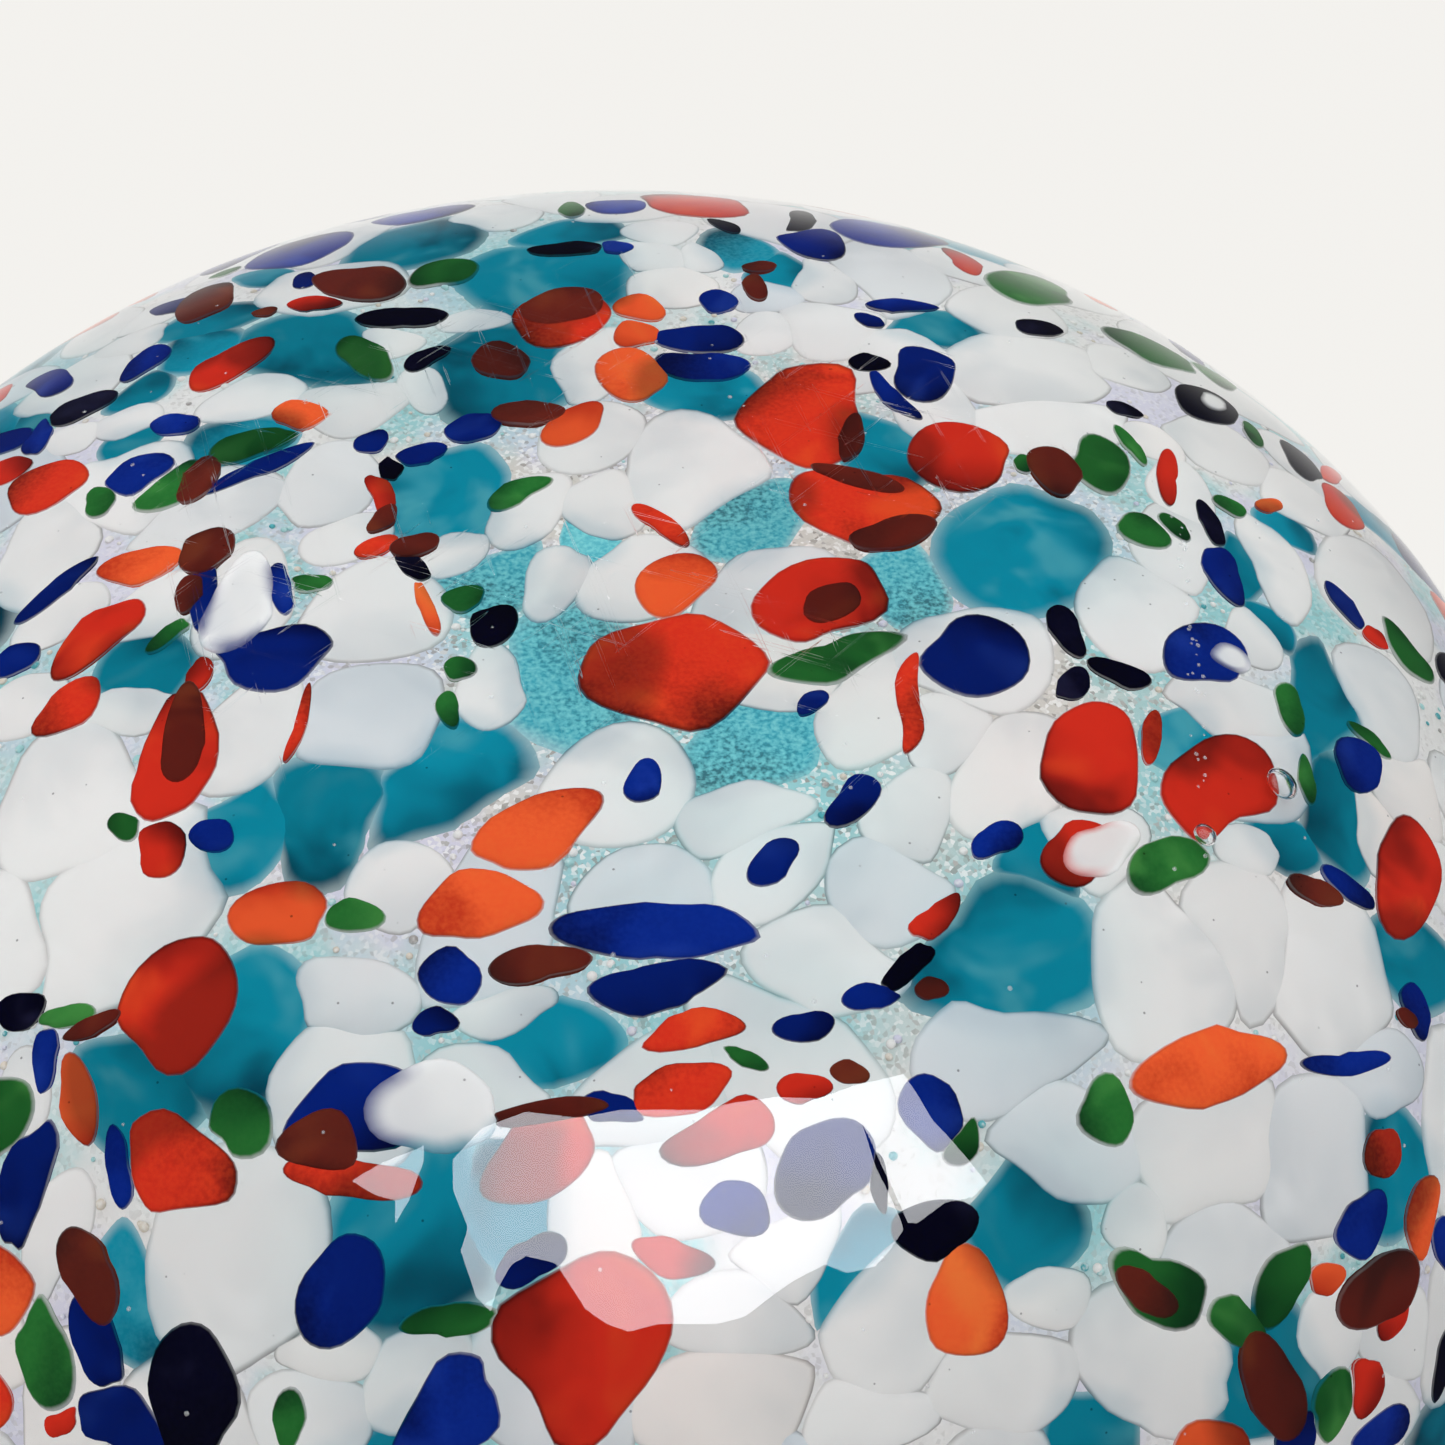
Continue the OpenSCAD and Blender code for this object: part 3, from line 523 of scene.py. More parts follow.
class ChipGroup:
    """The melted chips of one colour: each one's place, outline and draw, and the mesh they make."""

    def __init__(self, name, layer, seed):
        self.layer = layer
        self.chips = []
        draw = random.Random(seed)
        for middle, axes, corners in chip_islands(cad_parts[name]):
            ring = smooth_ring(corners, 3)
            size = np.hypot(ring[:, 0], ring[:, 1])
            wave = np.arctan2(ring[:, 1], ring[:, 0])
            swing = 1 + SPREAD[layer] / size
            for count, much in WAVES:
                swing += WAVE_SHARE[layer] * much * np.sin(count * wave + draw.uniform(0, TURN))
            tip = wave[size.argmax()]
            swing += draw.choice(TIPS) * np.maximum(0.0, np.cos(wave - tip)) ** 6
            ring = ring * swing[:, None]
            ring = ring + flow(middle + ring @ axes[:2], FLOW[layer]) @ axes[:2].T
            lot = draw.random()
            if layer == "pool":
                away = np.linalg.norm(middle - layout_point(*GRAINY_PLACE, 0.0))
                lot = 0.65 + 0.35 * lot if away < GRAINY_REACH / 1000 else 0.55 * lot
            # The last value is the random direction of the painted shade across the chip
            self.chips.append((middle, axes, ring, lot, draw.uniform(0, TURN)))

    def cover(self, points, soft):
        """How far each point lies over or under a chip, from 0 to 1, with a soft edge of some width."""
        share = np.zeros(len(points))
        for middle, axes, ring, lot, shade_turn in self.chips:
            away = points - middle
            size = np.hypot(ring[:, 0], ring[:, 1])
            near = np.nonzero((away ** 2).sum(axis=1) < 1.3 * (size.max() + soft) ** 2)[0]
            if not len(near):
                continue
            flat = away[near] @ axes[:2].T
            turn = np.arctan2(ring[:, 1], ring[:, 0])
            order = np.argsort(turn)
            limit = np.interp(np.arctan2(flat[:, 1], flat[:, 0]), turn[order], size[order], period=TURN)
            inside = (limit - np.hypot(flat[:, 0], flat[:, 1])) / soft + 0.5
            share[near] = np.maximum(share[near], np.clip(inside, 0.0, 1.0))
        return share

    def mesh(self):
        """Vertices, faces and the rim, lot and painted shade side of each vertex."""
        edge, out, back = SWELL[self.layer]
        verts = []
        faces = []
        rims = []
        lots = []
        shade_sides = []
        for middle, axes, ring, lot, shade_turn in self.chips:
            n = len(ring)
            size = np.hypot(ring[:, 0], ring[:, 1])
            plump = min(1.0, size.mean() / 0.0022)
            # Painted shade: a straight gradient across the chip, lit towards its shade direction and
            # shaded on the far side
            slope = ring @ np.array([math.cos(shade_turn), math.sin(shade_turn)]) / size.max()
            rows = []
            steps = [(1.0, edge)]
            steps += [(f, edge - out * plump * (1 - f ** 3) ** 0.5) for f in OUTER_RINGS]
            steps += [(f, edge + back * plump * (1 - f ** 3) ** 0.5) for f in INNER_RINGS]
            for share, depth in steps:
                rows.append(len(verts))
                verts.extend(wall_points(middle + (ring * share) @ axes[:2], depth))
                rims.extend([1.0 - share] * n)
                lots.extend([lot] * n)
                shade_sides.extend(0.5 + 0.5 * share * slope)
            tips = (len(verts), len(verts) + 1)
            for depth in (edge - out * plump, edge + back * plump):
                verts.extend(wall_points(middle[None, :], depth))
                rims.append(1.0)
                lots.append(lot)
                shade_sides.append(0.5)
            outer = rows[:len(OUTER_RINGS) + 1]
            inner = rows[:1] + rows[len(OUTER_RINGS) + 1:]
            for k in range(n):
                m = (k + 1) % n
                for low, high in zip(outer, outer[1:]):
                    faces.append((low + k, low + m, high + m, high + k))
                faces.append((outer[-1] + k, outer[-1] + m, tips[0]))
                for low, high in zip(inner, inner[1:]):
                    faces.append((low + m, low + k, high + k, high + m))
                faces.append((inner[-1] + m, inner[-1] + k, tips[1]))
        return np.array(verts), faces, rims, lots, shade_sides


def set_values(mesh, name, values):
    layer = mesh.attributes.new(name, "FLOAT", "POINT")
    layer.data.foreach_set("value", values)


def hand_in(obj, slot, *nodes):
    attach(obj, "root")
    if nodes:
        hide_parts(*nodes)


class BOWL_OT_glass_body(bpy.types.Operator):
    """Clear glass of the bowl: outer casing, inner lining and rounded lip in one smooth skin"""
    bl_idname = "bowl.glass_body"
    bl_label = "Clear Glass"

    def execute(self, context):
        s = shape()
        end = math.pi / 2 + s.lip_turn
        outer = wall_profile(0.0, end, *BODY_STEPS)
        inner = wall_profile(s.wall, end, *BODY_STEPS)
        middle = s.curve_radius - s.wall / 2
        bead = []
        for k in range(1, LIP_STEPS):
            t = math.pi * k / LIP_STEPS
            far = middle + s.wall / 2 * math.cos(t)
            rise = s.wall / 2 * math.sin(t)
            bead.append((s.foot_radius + far * math.sin(end) + rise * math.cos(end),
                         s.curve_radius - far * math.cos(end) + rise * math.sin(end)))
        verts, faces = lathe(outer + bead + inner[::-1], BODY_ROUND)
        for x, y, wide, tall in BUBBLES:
            more, shell = bubble(x, y, wide / 1000, tall / 1000)
            faces += [tuple(k + len(verts) for k in face) for face in shell]
            verts += more
        obj = make_object("clear_glass_body", verts, faces, clear_glass())
        hand_in(obj, "clear_glass", "outer_casing", "inner_lining", "rim_lip")
        return {"FINISHED"}


# Large air bubbles in the clear glass: place in the layout, width and height in millimetres
BUBBLES = ((51, -25.5, 2.8, 1.2), (43.5, -32, 1.9, 1.0))
BUBBLE_DEPTH = 0.0011


def bubble(x, y, wide, tall):
    """A flattened round hollow just under the outer face, with its faces turned in."""
    middle = layout_point(x, y, BUBBLE_DEPTH)
    axes = wall_frame(middle)
    steps = 20
    rows = 10
    turns = [math.pi * k / rows for k in range(rows + 1)]
    profile = [(wide / 2 * math.sin(t), -tall / 2 * math.cos(t)) for t in turns]
    verts, faces = lathe(profile, steps)
    return [tuple(middle + np.array(v) @ axes) for v in verts], [face[::-1] for face in faces]


def scratch_group():
    """Fine scratches on the base: three sets of thin streaks, strongest where the bowl stands."""
    group = bpy.data.node_groups.get("Fine scratches")
    if group:
        return group
    group = bpy.data.node_groups.new("Fine scratches", "ShaderNodeTree")
    face = group.interface
    face.new_socket(name="Reach", in_out="INPUT", socket_type="NodeSocketFloat").default_value = 0.045
    face.new_socket(name="Width", in_out="INPUT", socket_type="NodeSocketFloat").default_value = 0.006
    face.new_socket(name="Streaks", in_out="OUTPUT", socket_type="NodeSocketFloat")
    inside = node(group, "NodeGroupInput", (-1300, 0))
    outside = node(group, "NodeGroupOutput", (700, 0))
    where = node(group, "ShaderNodeTexCoord", (-1300, -300))
    total = None
    for k, turn in enumerate((0.4, 1.3, 2.3)):
        turned = node(group, "ShaderNodeMapping", (-1050, -300 * k), vector_type="TEXTURE",
                      in_Rotation=(0.0, 0.0, turn), in_Scale=(1.0, 0.03, 1.0))
        group.links.new(where.outputs["Object"], turned.inputs["Vector"])
        streak = node(group, "ShaderNodeTexNoise", (-850, -300 * k))
        streak.inputs["Scale"].default_value = 30 + 7 * k
        streak.inputs["Detail"].default_value = 1
        group.links.new(turned.outputs["Vector"], streak.inputs["Vector"])
        off = math_node(group, (-650, -300 * k), "SUBTRACT", streak.outputs["Fac"], 0.66)
        off = math_node(group, (-500, -300 * k), "ABSOLUTE", off, 0.0)
        line = map_range(group, (-350, -300 * k), off, 0.0, inside.outputs["Width"], 1.0, 0.0)
        total = line if total is None else math_node(group, (-150, -300 * k), "MAXIMUM", total, line)
    flat = node(group, "ShaderNodeVectorMath", (-1050, 400), operation="MULTIPLY")
    flat.inputs[1].default_value = (1.0, 1.0, 0.0)
    group.links.new(where.outputs["Object"], flat.inputs[0])
    away = node(group, "ShaderNodeVectorMath", (-850, 400), operation="LENGTH")
    group.links.new(flat.outputs["Vector"], away.inputs[0])
    near = map_range(group, (-350, 400), away.outputs["Value"], 0.02, inside.outputs["Reach"], 1.0, 0.0)
    patch = node(group, "ShaderNodeTexNoise", (-850, 700))
    patch.inputs["Scale"].default_value = 45
    group.links.new(where.outputs["Object"], patch.inputs["Vector"])
    worn = map_range(group, (-350, 700), patch.outputs["Fac"], 0.45, 0.6)
    total = math_node(group, (100, 0), "MULTIPLY", total, worn)
    group.links.new(math_node(group, (300, 0), "MULTIPLY", total, near), outside.inputs["Streaks"])
    return group


def clear_glass():
    material, tree, shader = plain_material("clear_glass")
    shader.inputs["Base Color"].default_value = (0.985, 0.99, 0.99, 1.0)
    shader.inputs["Transmission Weight"].default_value = 1.0
    shader.inputs["IOR"].default_value = 1.5
    scratches = node(tree, "ShaderNodeGroup", (-700, 0))
    scratches.node_tree = scratch_group()
    rough = map_range(tree, (-400, 100), scratches.outputs["Streaks"], 0.0, 1.0, 0.0, 0.35, smooth=False)
    tree.links.new(rough, shader.inputs["Roughness"])
    bump = node(tree, "ShaderNodeBump", (-400, -250), invert=True)
    bump.inputs["Strength"].default_value = 0.8
    bump.inputs["Distance"].default_value = 0.00005
    tree.links.new(scratches.outputs["Streaks"], bump.inputs["Height"])
    tree.links.new(bump.outputs["Normal"], shader.inputs["Normal"])
    return material


def scatter_tree():
    """Geometry nodes that put a small round bead, solid or hollow, on every point of a mesh."""
    tree = bpy.data.node_groups.get("Scatter beads")
    if tree:
        return tree
    tree = bpy.data.node_groups.new("Scatter beads", "GeometryNodeTree")
    face = tree.interface
    face.new_socket(name="Geometry", in_out="INPUT", socket_type="NodeSocketGeometry")
    face.new_socket(name="Size", in_out="INPUT", socket_type="NodeSocketFloat").default_value = 1.0
    face.new_socket(name="Hollow", in_out="INPUT", socket_type="NodeSocketBool").default_value = False
    face.new_socket(name="Finish", in_out="INPUT", socket_type="NodeSocketMaterial")
    face.new_socket(name="Geometry", in_out="OUTPUT", socket_type="NodeSocketGeometry")
    inside = node(tree, "NodeGroupInput", (-900, 0))
    outside = node(tree, "NodeGroupOutput", (1100, 0))
    bead = node(tree, "GeometryNodeMeshUVSphere", (-700, -300))
    bead.inputs["Segments"].default_value = 8
    bead.inputs["Rings"].default_value = 5
    bead.inputs["Radius"].default_value = 1.0
    flipped = node(tree, "GeometryNodeFlipFaces", (-500, -400))
    tree.links.new(bead.outputs["Mesh"], flipped.inputs["Mesh"])
    kind = node(tree, "GeometryNodeSwitch", (-300, -300), input_type="GEOMETRY")
    tree.links.new(inside.outputs["Hollow"], kind.inputs["Switch"])
    tree.links.new(bead.outputs["Mesh"], kind.inputs["False"])
    tree.links.new(flipped.outputs["Mesh"], kind.inputs["True"])
    size = node(tree, "GeometryNodeInputNamedAttribute", (-700, 300), data_type="FLOAT")
    size.inputs["Name"].default_value = "size"
    turn = node(tree, "FunctionNodeRandomValue", (-500, 500), data_type="FLOAT_VECTOR")
    turn.inputs[1].default_value = (TURN, TURN, TURN)
    turn.inputs["Seed"].default_value = 3
    grown = math_node(tree, (-400, 300), "MULTIPLY", size.outputs["Attribute"], inside.outputs["Size"])
    placed = node(tree, "GeometryNodeInstanceOnPoints", (0, 0))
    tree.links.new(inside.outputs["Geometry"], placed.inputs["Points"])
    tree.links.new(kind.outputs["Output"], placed.inputs["Instance"])
    tree.links.new(turn.outputs["Value"], placed.inputs["Rotation"])
    tree.links.new(grown, placed.inputs["Scale"])
    whole = node(tree, "GeometryNodeRealizeInstances", (250, 0))
    tree.links.new(placed.outputs["Instances"], whole.inputs["Geometry"])
    soft = node(tree, "GeometryNodeSetShadeSmooth", (500, 0))
    tree.links.new(whole.outputs["Geometry"], soft.inputs["Geometry"])
    done = node(tree, "GeometryNodeSetMaterial", (750, 0))
    tree.links.new(soft.outputs["Geometry"], done.inputs["Geometry"])
    tree.links.new(inside.outputs["Finish"], done.inputs["Material"])
    tree.links.new(done.outputs["Geometry"], outside.inputs["Geometry"])
    return tree


def scatter(name, points, sizes, lots, finish, hollow):
    """Beads on points, as one plain mesh object."""
    seeds = make_object(name + "_points", points, [], None, smooth=False)
    set_values(seeds.data, "size", sizes)
    set_values(seeds.data, "lot", lots)
    step = seeds.modifiers.new("Scatter", "NODES")
    tree = scatter_tree()
    step.node_group = tree
    keys = {item.name: item.identifier for item in tree.interface.items_tree if item.in_out == "INPUT"}
    step[keys["Size"]] = 1.0
    step[keys["Hollow"]] = hollow
    step[keys["Finish"]] = finish
    bpy.context.view_layer.update()
    seen = seeds.evaluated_get(bpy.context.evaluated_depsgraph_get())
    mesh = bpy.data.meshes.new_from_object(seen)
    mesh.name = name
    obj = bpy.data.objects.new(name, mesh)
    bpy.context.scene.collection.objects.link(obj)
    bpy.data.objects.remove(seeds)
    return obj


# Row of pin-prick bubbles across the wall, from one place in the layout to another, in millimetres
PRICK_ROW = ((46, 3), (43.5, -29))
# How many there are in the row and all round, and how far they stray from the row, in millimetres
PRICKS_IN_ROW = 40
PRICKS_ROUND = 260
PRICK_STRAY = 0.35
# Least and greatest depth under the outer face and radius, in metres
PRICK_DEPTHS = (0.0006, 0.0015)
PRICK_RADII = (0.00008, 0.0002)


class BOWL_OT_seeds(bpy.types.Operator):
    """Pin-prick air bubbles in the clear glass: a row of them, and a few all round"""
    bl_idname = "bowl.seeds"
    bl_label = "Air Bubbles"

    def execute(self, context):
        draw = np.random.default_rng(11)
        along = draw.random(PRICKS_IN_ROW)[:, None]
        row = np.array(PRICK_ROW[0]) * (1 - along) + np.array(PRICK_ROW[1]) * along
        row += draw.normal(0, PRICK_STRAY, row.shape)
        places = np.vstack([row, scattered_places(draw, PRICKS_ROUND)])
        points = layout_points(places, draw.uniform(*PRICK_DEPTHS, len(places)))
        sizes = draw.uniform(*PRICK_RADII, len(places))
        finish = bpy.data.materials["clear_glass"]
        obj = scatter("air_seeds", points, sizes, draw.random(len(places)), finish, True)
        hand_in(obj, "clear_glass")
        return {"FINISHED"}


# Room that scattered beads leave at the lip and at the middle of the base, in millimetres
LIP_ROOM = 7
BASE_ROOM = 2


def scattered_places(draw, count):
    """Places in the layout spread evenly over the wall, clear of the lip."""
    s = shape()
    far = 1000 * (s.foot_radius + s.curve_radius * (math.pi / 2 + s.lip_turn)) - LIP_ROOM
    away = draw.uniform(BASE_ROOM, far, 6 * count)
    ring = np.hypot(*layout_points(np.stack([away, 0 * away], axis=1), 0.0)[:, :2].T)
    kept = away[draw.random(len(away)) * ring.max() < ring][:count]
    turn = draw.uniform(0, TURN, len(kept))
    return np.stack([kept * np.cos(turn), kept * np.sin(turn)], axis=1)


# Coarse grains: places tried, grains kept, depth under the outer face and radii, in metres
GRAIN_TRIES = 9000
GRAIN_COUNT = 1000
GRAIN_DEPTH = 0.0033
GRAIN_RADII = (0.00015, 0.0004)
# Width of a chip's edge over which a grain counts as hidden, in metres
GRAIN_EDGE = 0.0004


class BOWL_OT_grains(bpy.types.Operator):
    """Coarse grains of crushed glass that show between the chips"""
    bl_idname = "bowl.grains"
    bl_label = "Coarse Grains"

    def execute(self, context):
        draw = np.random.default_rng(5)
        places = scattered_places(draw, GRAIN_TRIES)
        points = layout_points(places, GRAIN_DEPTH)
        hidden = ChipGroup("white_chips", "deep", 0).cover(points, GRAIN_EDGE)
        hidden += ChipGroup("turquoise_chips", "pool", 1).cover(points, GRAIN_EDGE)
        points = points[hidden < 0.5][:GRAIN_COUNT]
        sizes = draw.uniform(*GRAIN_RADII, len(points))
        obj = scatter("coarse_grains", points, sizes, draw.random(len(points)), grain_finish(), False)
        hand_in(obj, "frit")
        return {"FINISHED"}


def grain_finish():
    """Grains in mixed pale colours, each with a little cloud in it."""
    material, tree, shader = plain_material("coarse_grain")
    lot = node(tree, "ShaderNodeAttribute", (-900, 200), attribute_name="lot")
    ramp = node(tree, "ShaderNodeValToRGB", (-650, 200))
    ramp.color_ramp.interpolation = "CONSTANT"
    stops = ramp.color_ramp.elements
    stops[0].color = (0.86, 0.85, 0.82, 1.0)
    stops[1].position = 0.4
    stops[1].color = (0.72, 0.66, 0.56, 1.0)
    for place, colour in (
        (0.55, (0.4, 0.68, 0.68)), (0.75, (0.66, 0.66, 0.78)),
        (0.85, (0.1, 0.42, 0.46)), (0.94, (0.42, 0.4, 0.38)),
    ):
        stops.new(place).color = (*colour, 1.0)
    tree.links.new(lot.outputs["Fac"], ramp.inputs["Fac"])
    where = node(tree, "ShaderNodeTexCoord", (-900, -200))
    cloud = node(tree, "ShaderNodeTexNoise", (-650, -200))
    cloud.inputs["Scale"].default_value = 2500
    tree.links.new(where.outputs["Object"], cloud.inputs["Vector"])
    pale = map_range(tree, (-400, -200), cloud.outputs["Fac"], 0.45, 0.7, 0.0, 0.5)
    out = mix_colour(tree, (-200, 100), ramp.outputs["Color"], (0.9, 0.9, 0.88), pale)
    tree.links.new(out, shader.inputs["Base Color"])
    shader.inputs["Roughness"].default_value = 0.5
    shader.inputs["Specular IOR Level"].default_value = 0.0
    return material


class BOWL_OT_frit_bed(bpy.types.Operator):
    """Thin bed of fine crushed glass that the chips are set in"""
    bl_idname = "bowl.frit_bed"
    bl_label = "Grain Bed"

    def execute(self, context):
        s = shape()
        outer = wall_profile(s.bed_depth, bed_end(), *BED_STEPS)
        inner = wall_profile(s.bed_depth + s.bed_thickness, bed_end(), *BED_STEPS)
        verts, faces = lathe(outer + inner[::-1], BED_ROUND)
        obj = make_object("frit_bed_sheet", verts, faces, frit())
        set_values(obj.data, "aqua", aqua_share(np.array(verts)))
        hand_in(obj, "frit", "frit_bed")
        return {"FINISHED"}


def frit():
    """Crushed glass in beige, lilac and aqua drifts, with painted glints and painted shade on single
    crystals.
    """
    material, tree, shader = plain_material("frit")
    where = node(tree, "ShaderNodeTexCoord", (-1400, 0))
    crystal = node(tree, "ShaderNodeTexVoronoi", (-1150, 300))
    crystal.inputs["Scale"].default_value = 3000
    tree.links.new(where.outputs["Object"], crystal.inputs["Vector"])
    away = node(tree, "ShaderNodeVectorMath", (-1150, 700), operation="DISTANCE")
    away.inputs[1].default_value = layout_point(*GRAINY_PLACE, shape().bed_depth)
    tree.links.new(where.outputs["Object"], away.inputs[0])
    base = mix_colour(tree, (-900, 900), (0.66, 0.63, 0.58), (0.8, 0.79, 0.77),
                      map_range(tree, (-1150, 900), away.outputs["Value"], 0.025, 0.05))
    for place, scale, colour in ((-100, 52, (0.33, 0.62, 0.63)), (-350, 71, (0.68, 0.67, 0.77))):
        drift = node(tree, "ShaderNodeTexNoise", (-1150, place))
        drift.inputs["Scale"].default_value = scale
        drift.inputs["Detail"].default_value = 4
        tree.links.new(where.outputs["Object"], drift.inputs["Vector"])
        base = mix_colour(tree, (-650, place), base, colour,
                          map_range(tree, (-900, place), drift.outputs["Fac"], 0.48, 0.62))
    aqua = node(tree, "ShaderNodeAttribute", (-900, -600), attribute_name="aqua")
    base = mix_colour(tree, (-500, -300), base, AQUA_TINT, aqua.outputs["Fac"])
    split = node(tree, "ShaderNodeSeparateColor", (-900, 350))
    tree.links.new(crystal.outputs["Color"], split.inputs["Color"])
    # Strength of the painted glints and painted shade on the crystals, strongest at the grainy place
    glint_and_shade_strength = map_range(tree, (-900, 700), away.outputs["Value"], 0.02, 0.05, 0.8, 0.25)
    glint = map_range(tree, (-650, 450), split.outputs["Red"], 0.5, 0.95, 0.0, glint_and_shade_strength)
    shade = map_range(tree, (-650, 250), split.outputs["Green"], 0.7, 1.0, 0.0, glint_and_shade_strength)
    out = mix_colour(tree, (-350, 100), base, (0.93, 0.92, 0.9), glint)
    out = mix_colour(tree, (-100, 100), out, (0.3, 0.28, 0.25), shade)
    tree.links.new(out, shader.inputs["Base Color"])
    shader.inputs["Roughness"].default_value = 0.7
    shader.inputs["Specular IOR Level"].default_value = 0.0
    return material


class BOWL_OT_chips(bpy.types.Operator):
    """Chips of coloured glass, melted to soft pillow shapes along the wall"""
    bl_idname = "bowl.chips"
    bl_label = "Glass Chips"

    def execute(self, context):
        finishes = chip_finishes()
        shown = chip_colours()
        groups = {}
        for seed, (name, slot, layer) in enumerate(CHIP_GROUPS):
            groups[name] = ChipGroup(name, layer, seed)
        for name, slot, layer in CHIP_GROUPS:
            verts, faces, rims, lots, shade_sides = groups[name].mesh()
            under = np.tile(np.array(GROUND_TINT[layer]), (len(verts), 1))
            if layer in ("pool", "deep"):
                share = aqua_share(verts)[:, None]
                under = under * (1 - share) + np.array(AQUA_TINT) * share
            for other, spare, below in CHIP_GROUPS:
                if other != "white_chips" and LAYERS.index(below) < LAYERS.index(layer):
                    share = groups[other].cover(verts, 0.0015)[:, None]
                    under = under * (1 - share) + shown[other] * share
            obj = make_object(name + "_melted", verts, faces, finishes[name])
            set_values(obj.data, "rim", rims)
            set_values(obj.data, "lot", lots)
            set_values(obj.data, "shade_side", shade_sides)
            tint = obj.data.attributes.new("under", "FLOAT_COLOR", "POINT")
            tint.data.foreach_set("color", np.hstack([under, np.ones((len(under), 1))]).ravel())
            obj.visible_diffuse = False
            hand_in(obj, slot, name)
        return {"FINISHED"}


# Places where the bed and the rims of its chips are aqua: x, y and reach in the layout's millimetres
AQUA_PLACES = (
    (10, -30, 17), (0, -42, 10), (-30, -50, 12), (-15, -65, 13), (28, -43, 12), (-9, -12, 8),
    (13, -13, 10), (42, -28, 8), (-38, -16, 8), (4, -19, 14), (-8, 36, 16), (-27, 24, 11),
    (-12, 20, 12), (20, 8, 8), (34, -3, 10), (57, -18, 7), (-10, -54, 12), (3, -52, 9),
    (12, -49, 9), (32, -62, 9), (-60, 30, 14), (0, 80, 25), (-70, -20, 20), (80, 60, 25),
)
AQUA_TINT = (0.32, 0.62, 0.64)


def aqua_share(points):
    """How aqua the bed is at each point, from 0 to 1."""
    share = np.zeros(len(points))
    for x, y, reach in AQUA_PLACES:
        away = np.linalg.norm(points - layout_point(x, y, shape().bed_depth), axis=1) * 1000 / reach
        share = np.maximum(share, np.clip(1.5 - 1.5 * away, 0.0, 1.0))
    return share


# What shows at a chip's rim and through it, for each layer, where no other colour lies under it
GROUND_TINT = {
    "pool": (0.6, 0.72, 0.72),
    "deep": (0.8, 0.79, 0.77),
    "upper": (0.97, 0.97, 0.96),
    "spot": (0.97, 0.97, 0.96),
}


def chip_colours():
    c = colours()
    names = ("turquoise", "red", "orange", "cobalt", "navy", "green", "brown")
    return {name + "_chips": np.array(getattr(c, name)) for name in names}


def chip_finishes():
    """The finish of each group of chips, by the name of its node."""
    c = colours()
    # In each finish the first colour is the shaded copy and the second the lit copy, for the painted
    # shade across each chip
    return {
        "white_chips": stray_tint(chip_material(
            "white_glass", (0.72, 0.74, 0.745), c.white, (0.93, 0.93, 0.92),
            rim_width=0.14, rim_strength=0.5, outline=0.9, grain=0.03,
            see_through=0.25, lot_spread=0.05)),
        "turquoise_chips": chip_material(
            "turquoise_glass", (0.001, 0.05, 0.085), c.turquoise, (0.22, 0.6, 0.6),
            rim_width=0.24, rim_strength=0.5, outline=0.15, grain=0.9, glow=0.3,
            see_through=0.0, lot_spread=0.3),
        "red_chips": chip_material(
            "red_glass", (0.17, 0.009, 0.006), c.red, (0.85, 0.11, 0.022),
            rim_width=0.03, rim_strength=0.4, outline=0.6, grain=0.2, see_through=0.5, lot_spread=0.12),
        "orange_chips": chip_material(
            "orange_glass", (0.5, 0.025, 0.01), c.orange, (0.9, 0.25, 0.05),
            rim_width=0.04, rim_strength=0.4, outline=0.4, grain=0.15, see_through=0.5, lot_spread=0.1),
        "cobalt_chips": chip_material(
            "cobalt_glass", (0.0003, 0.003, 0.05), c.cobalt, (0.02, 0.06, 0.36),
            rim_width=0.05, rim_strength=0.25, outline=0.5, grain=0.1, see_through=0.4, lot_spread=0.35),
        "navy_chips": chip_material(
            "navy_glass", (0.0002, 0.0002, 0.004), c.navy, (0.03, 0.03, 0.08),
            rim_width=0.05, rim_strength=0.2, outline=0.3, grain=0.06, see_through=0.3, lot_spread=0.2),
        "green_chips": chip_material(
            "green_glass", (0.003, 0.035, 0.01), c.green, (0.1, 0.36, 0.08),
            rim_width=0.1, rim_strength=0.5, outline=0.4, grain=0.06, see_through=0.45, lot_spread=0.3),
        "brown_chips": chip_material(
            "brown_glass", (0.04, 0.01, 0.008), c.brown, (0.25, 0.06, 0.02),
            rim_width=0.06, rim_strength=0.1, outline=0.3, grain=0.06, see_through=0.2, lot_spread=0.2),
        "milk_chips": chip_material(
            "milk_glass", (0.72, 0.75, 0.77), c.white, (0.93, 0.93, 0.92),
            rim_width=0.45, rim_strength=0.8, outline=0.1, grain=0.03,
            see_through=0.08, lot_spread=0.03),
    }


class BOWL_OT_stage(bpy.types.Operator):
    """Pale floor and backdrop, soft light, and the camera under the bowl"""
    bl_idname = "bowl.stage"
    bl_label = "Stage"

    def execute(self, context):
        scene = context.scene
        scene.view_settings.view_transform = "Standard"
        make_world(scene)
        make_floor(scene)
        make_camera(scene)
        make_window()
        return {"FINISHED"}


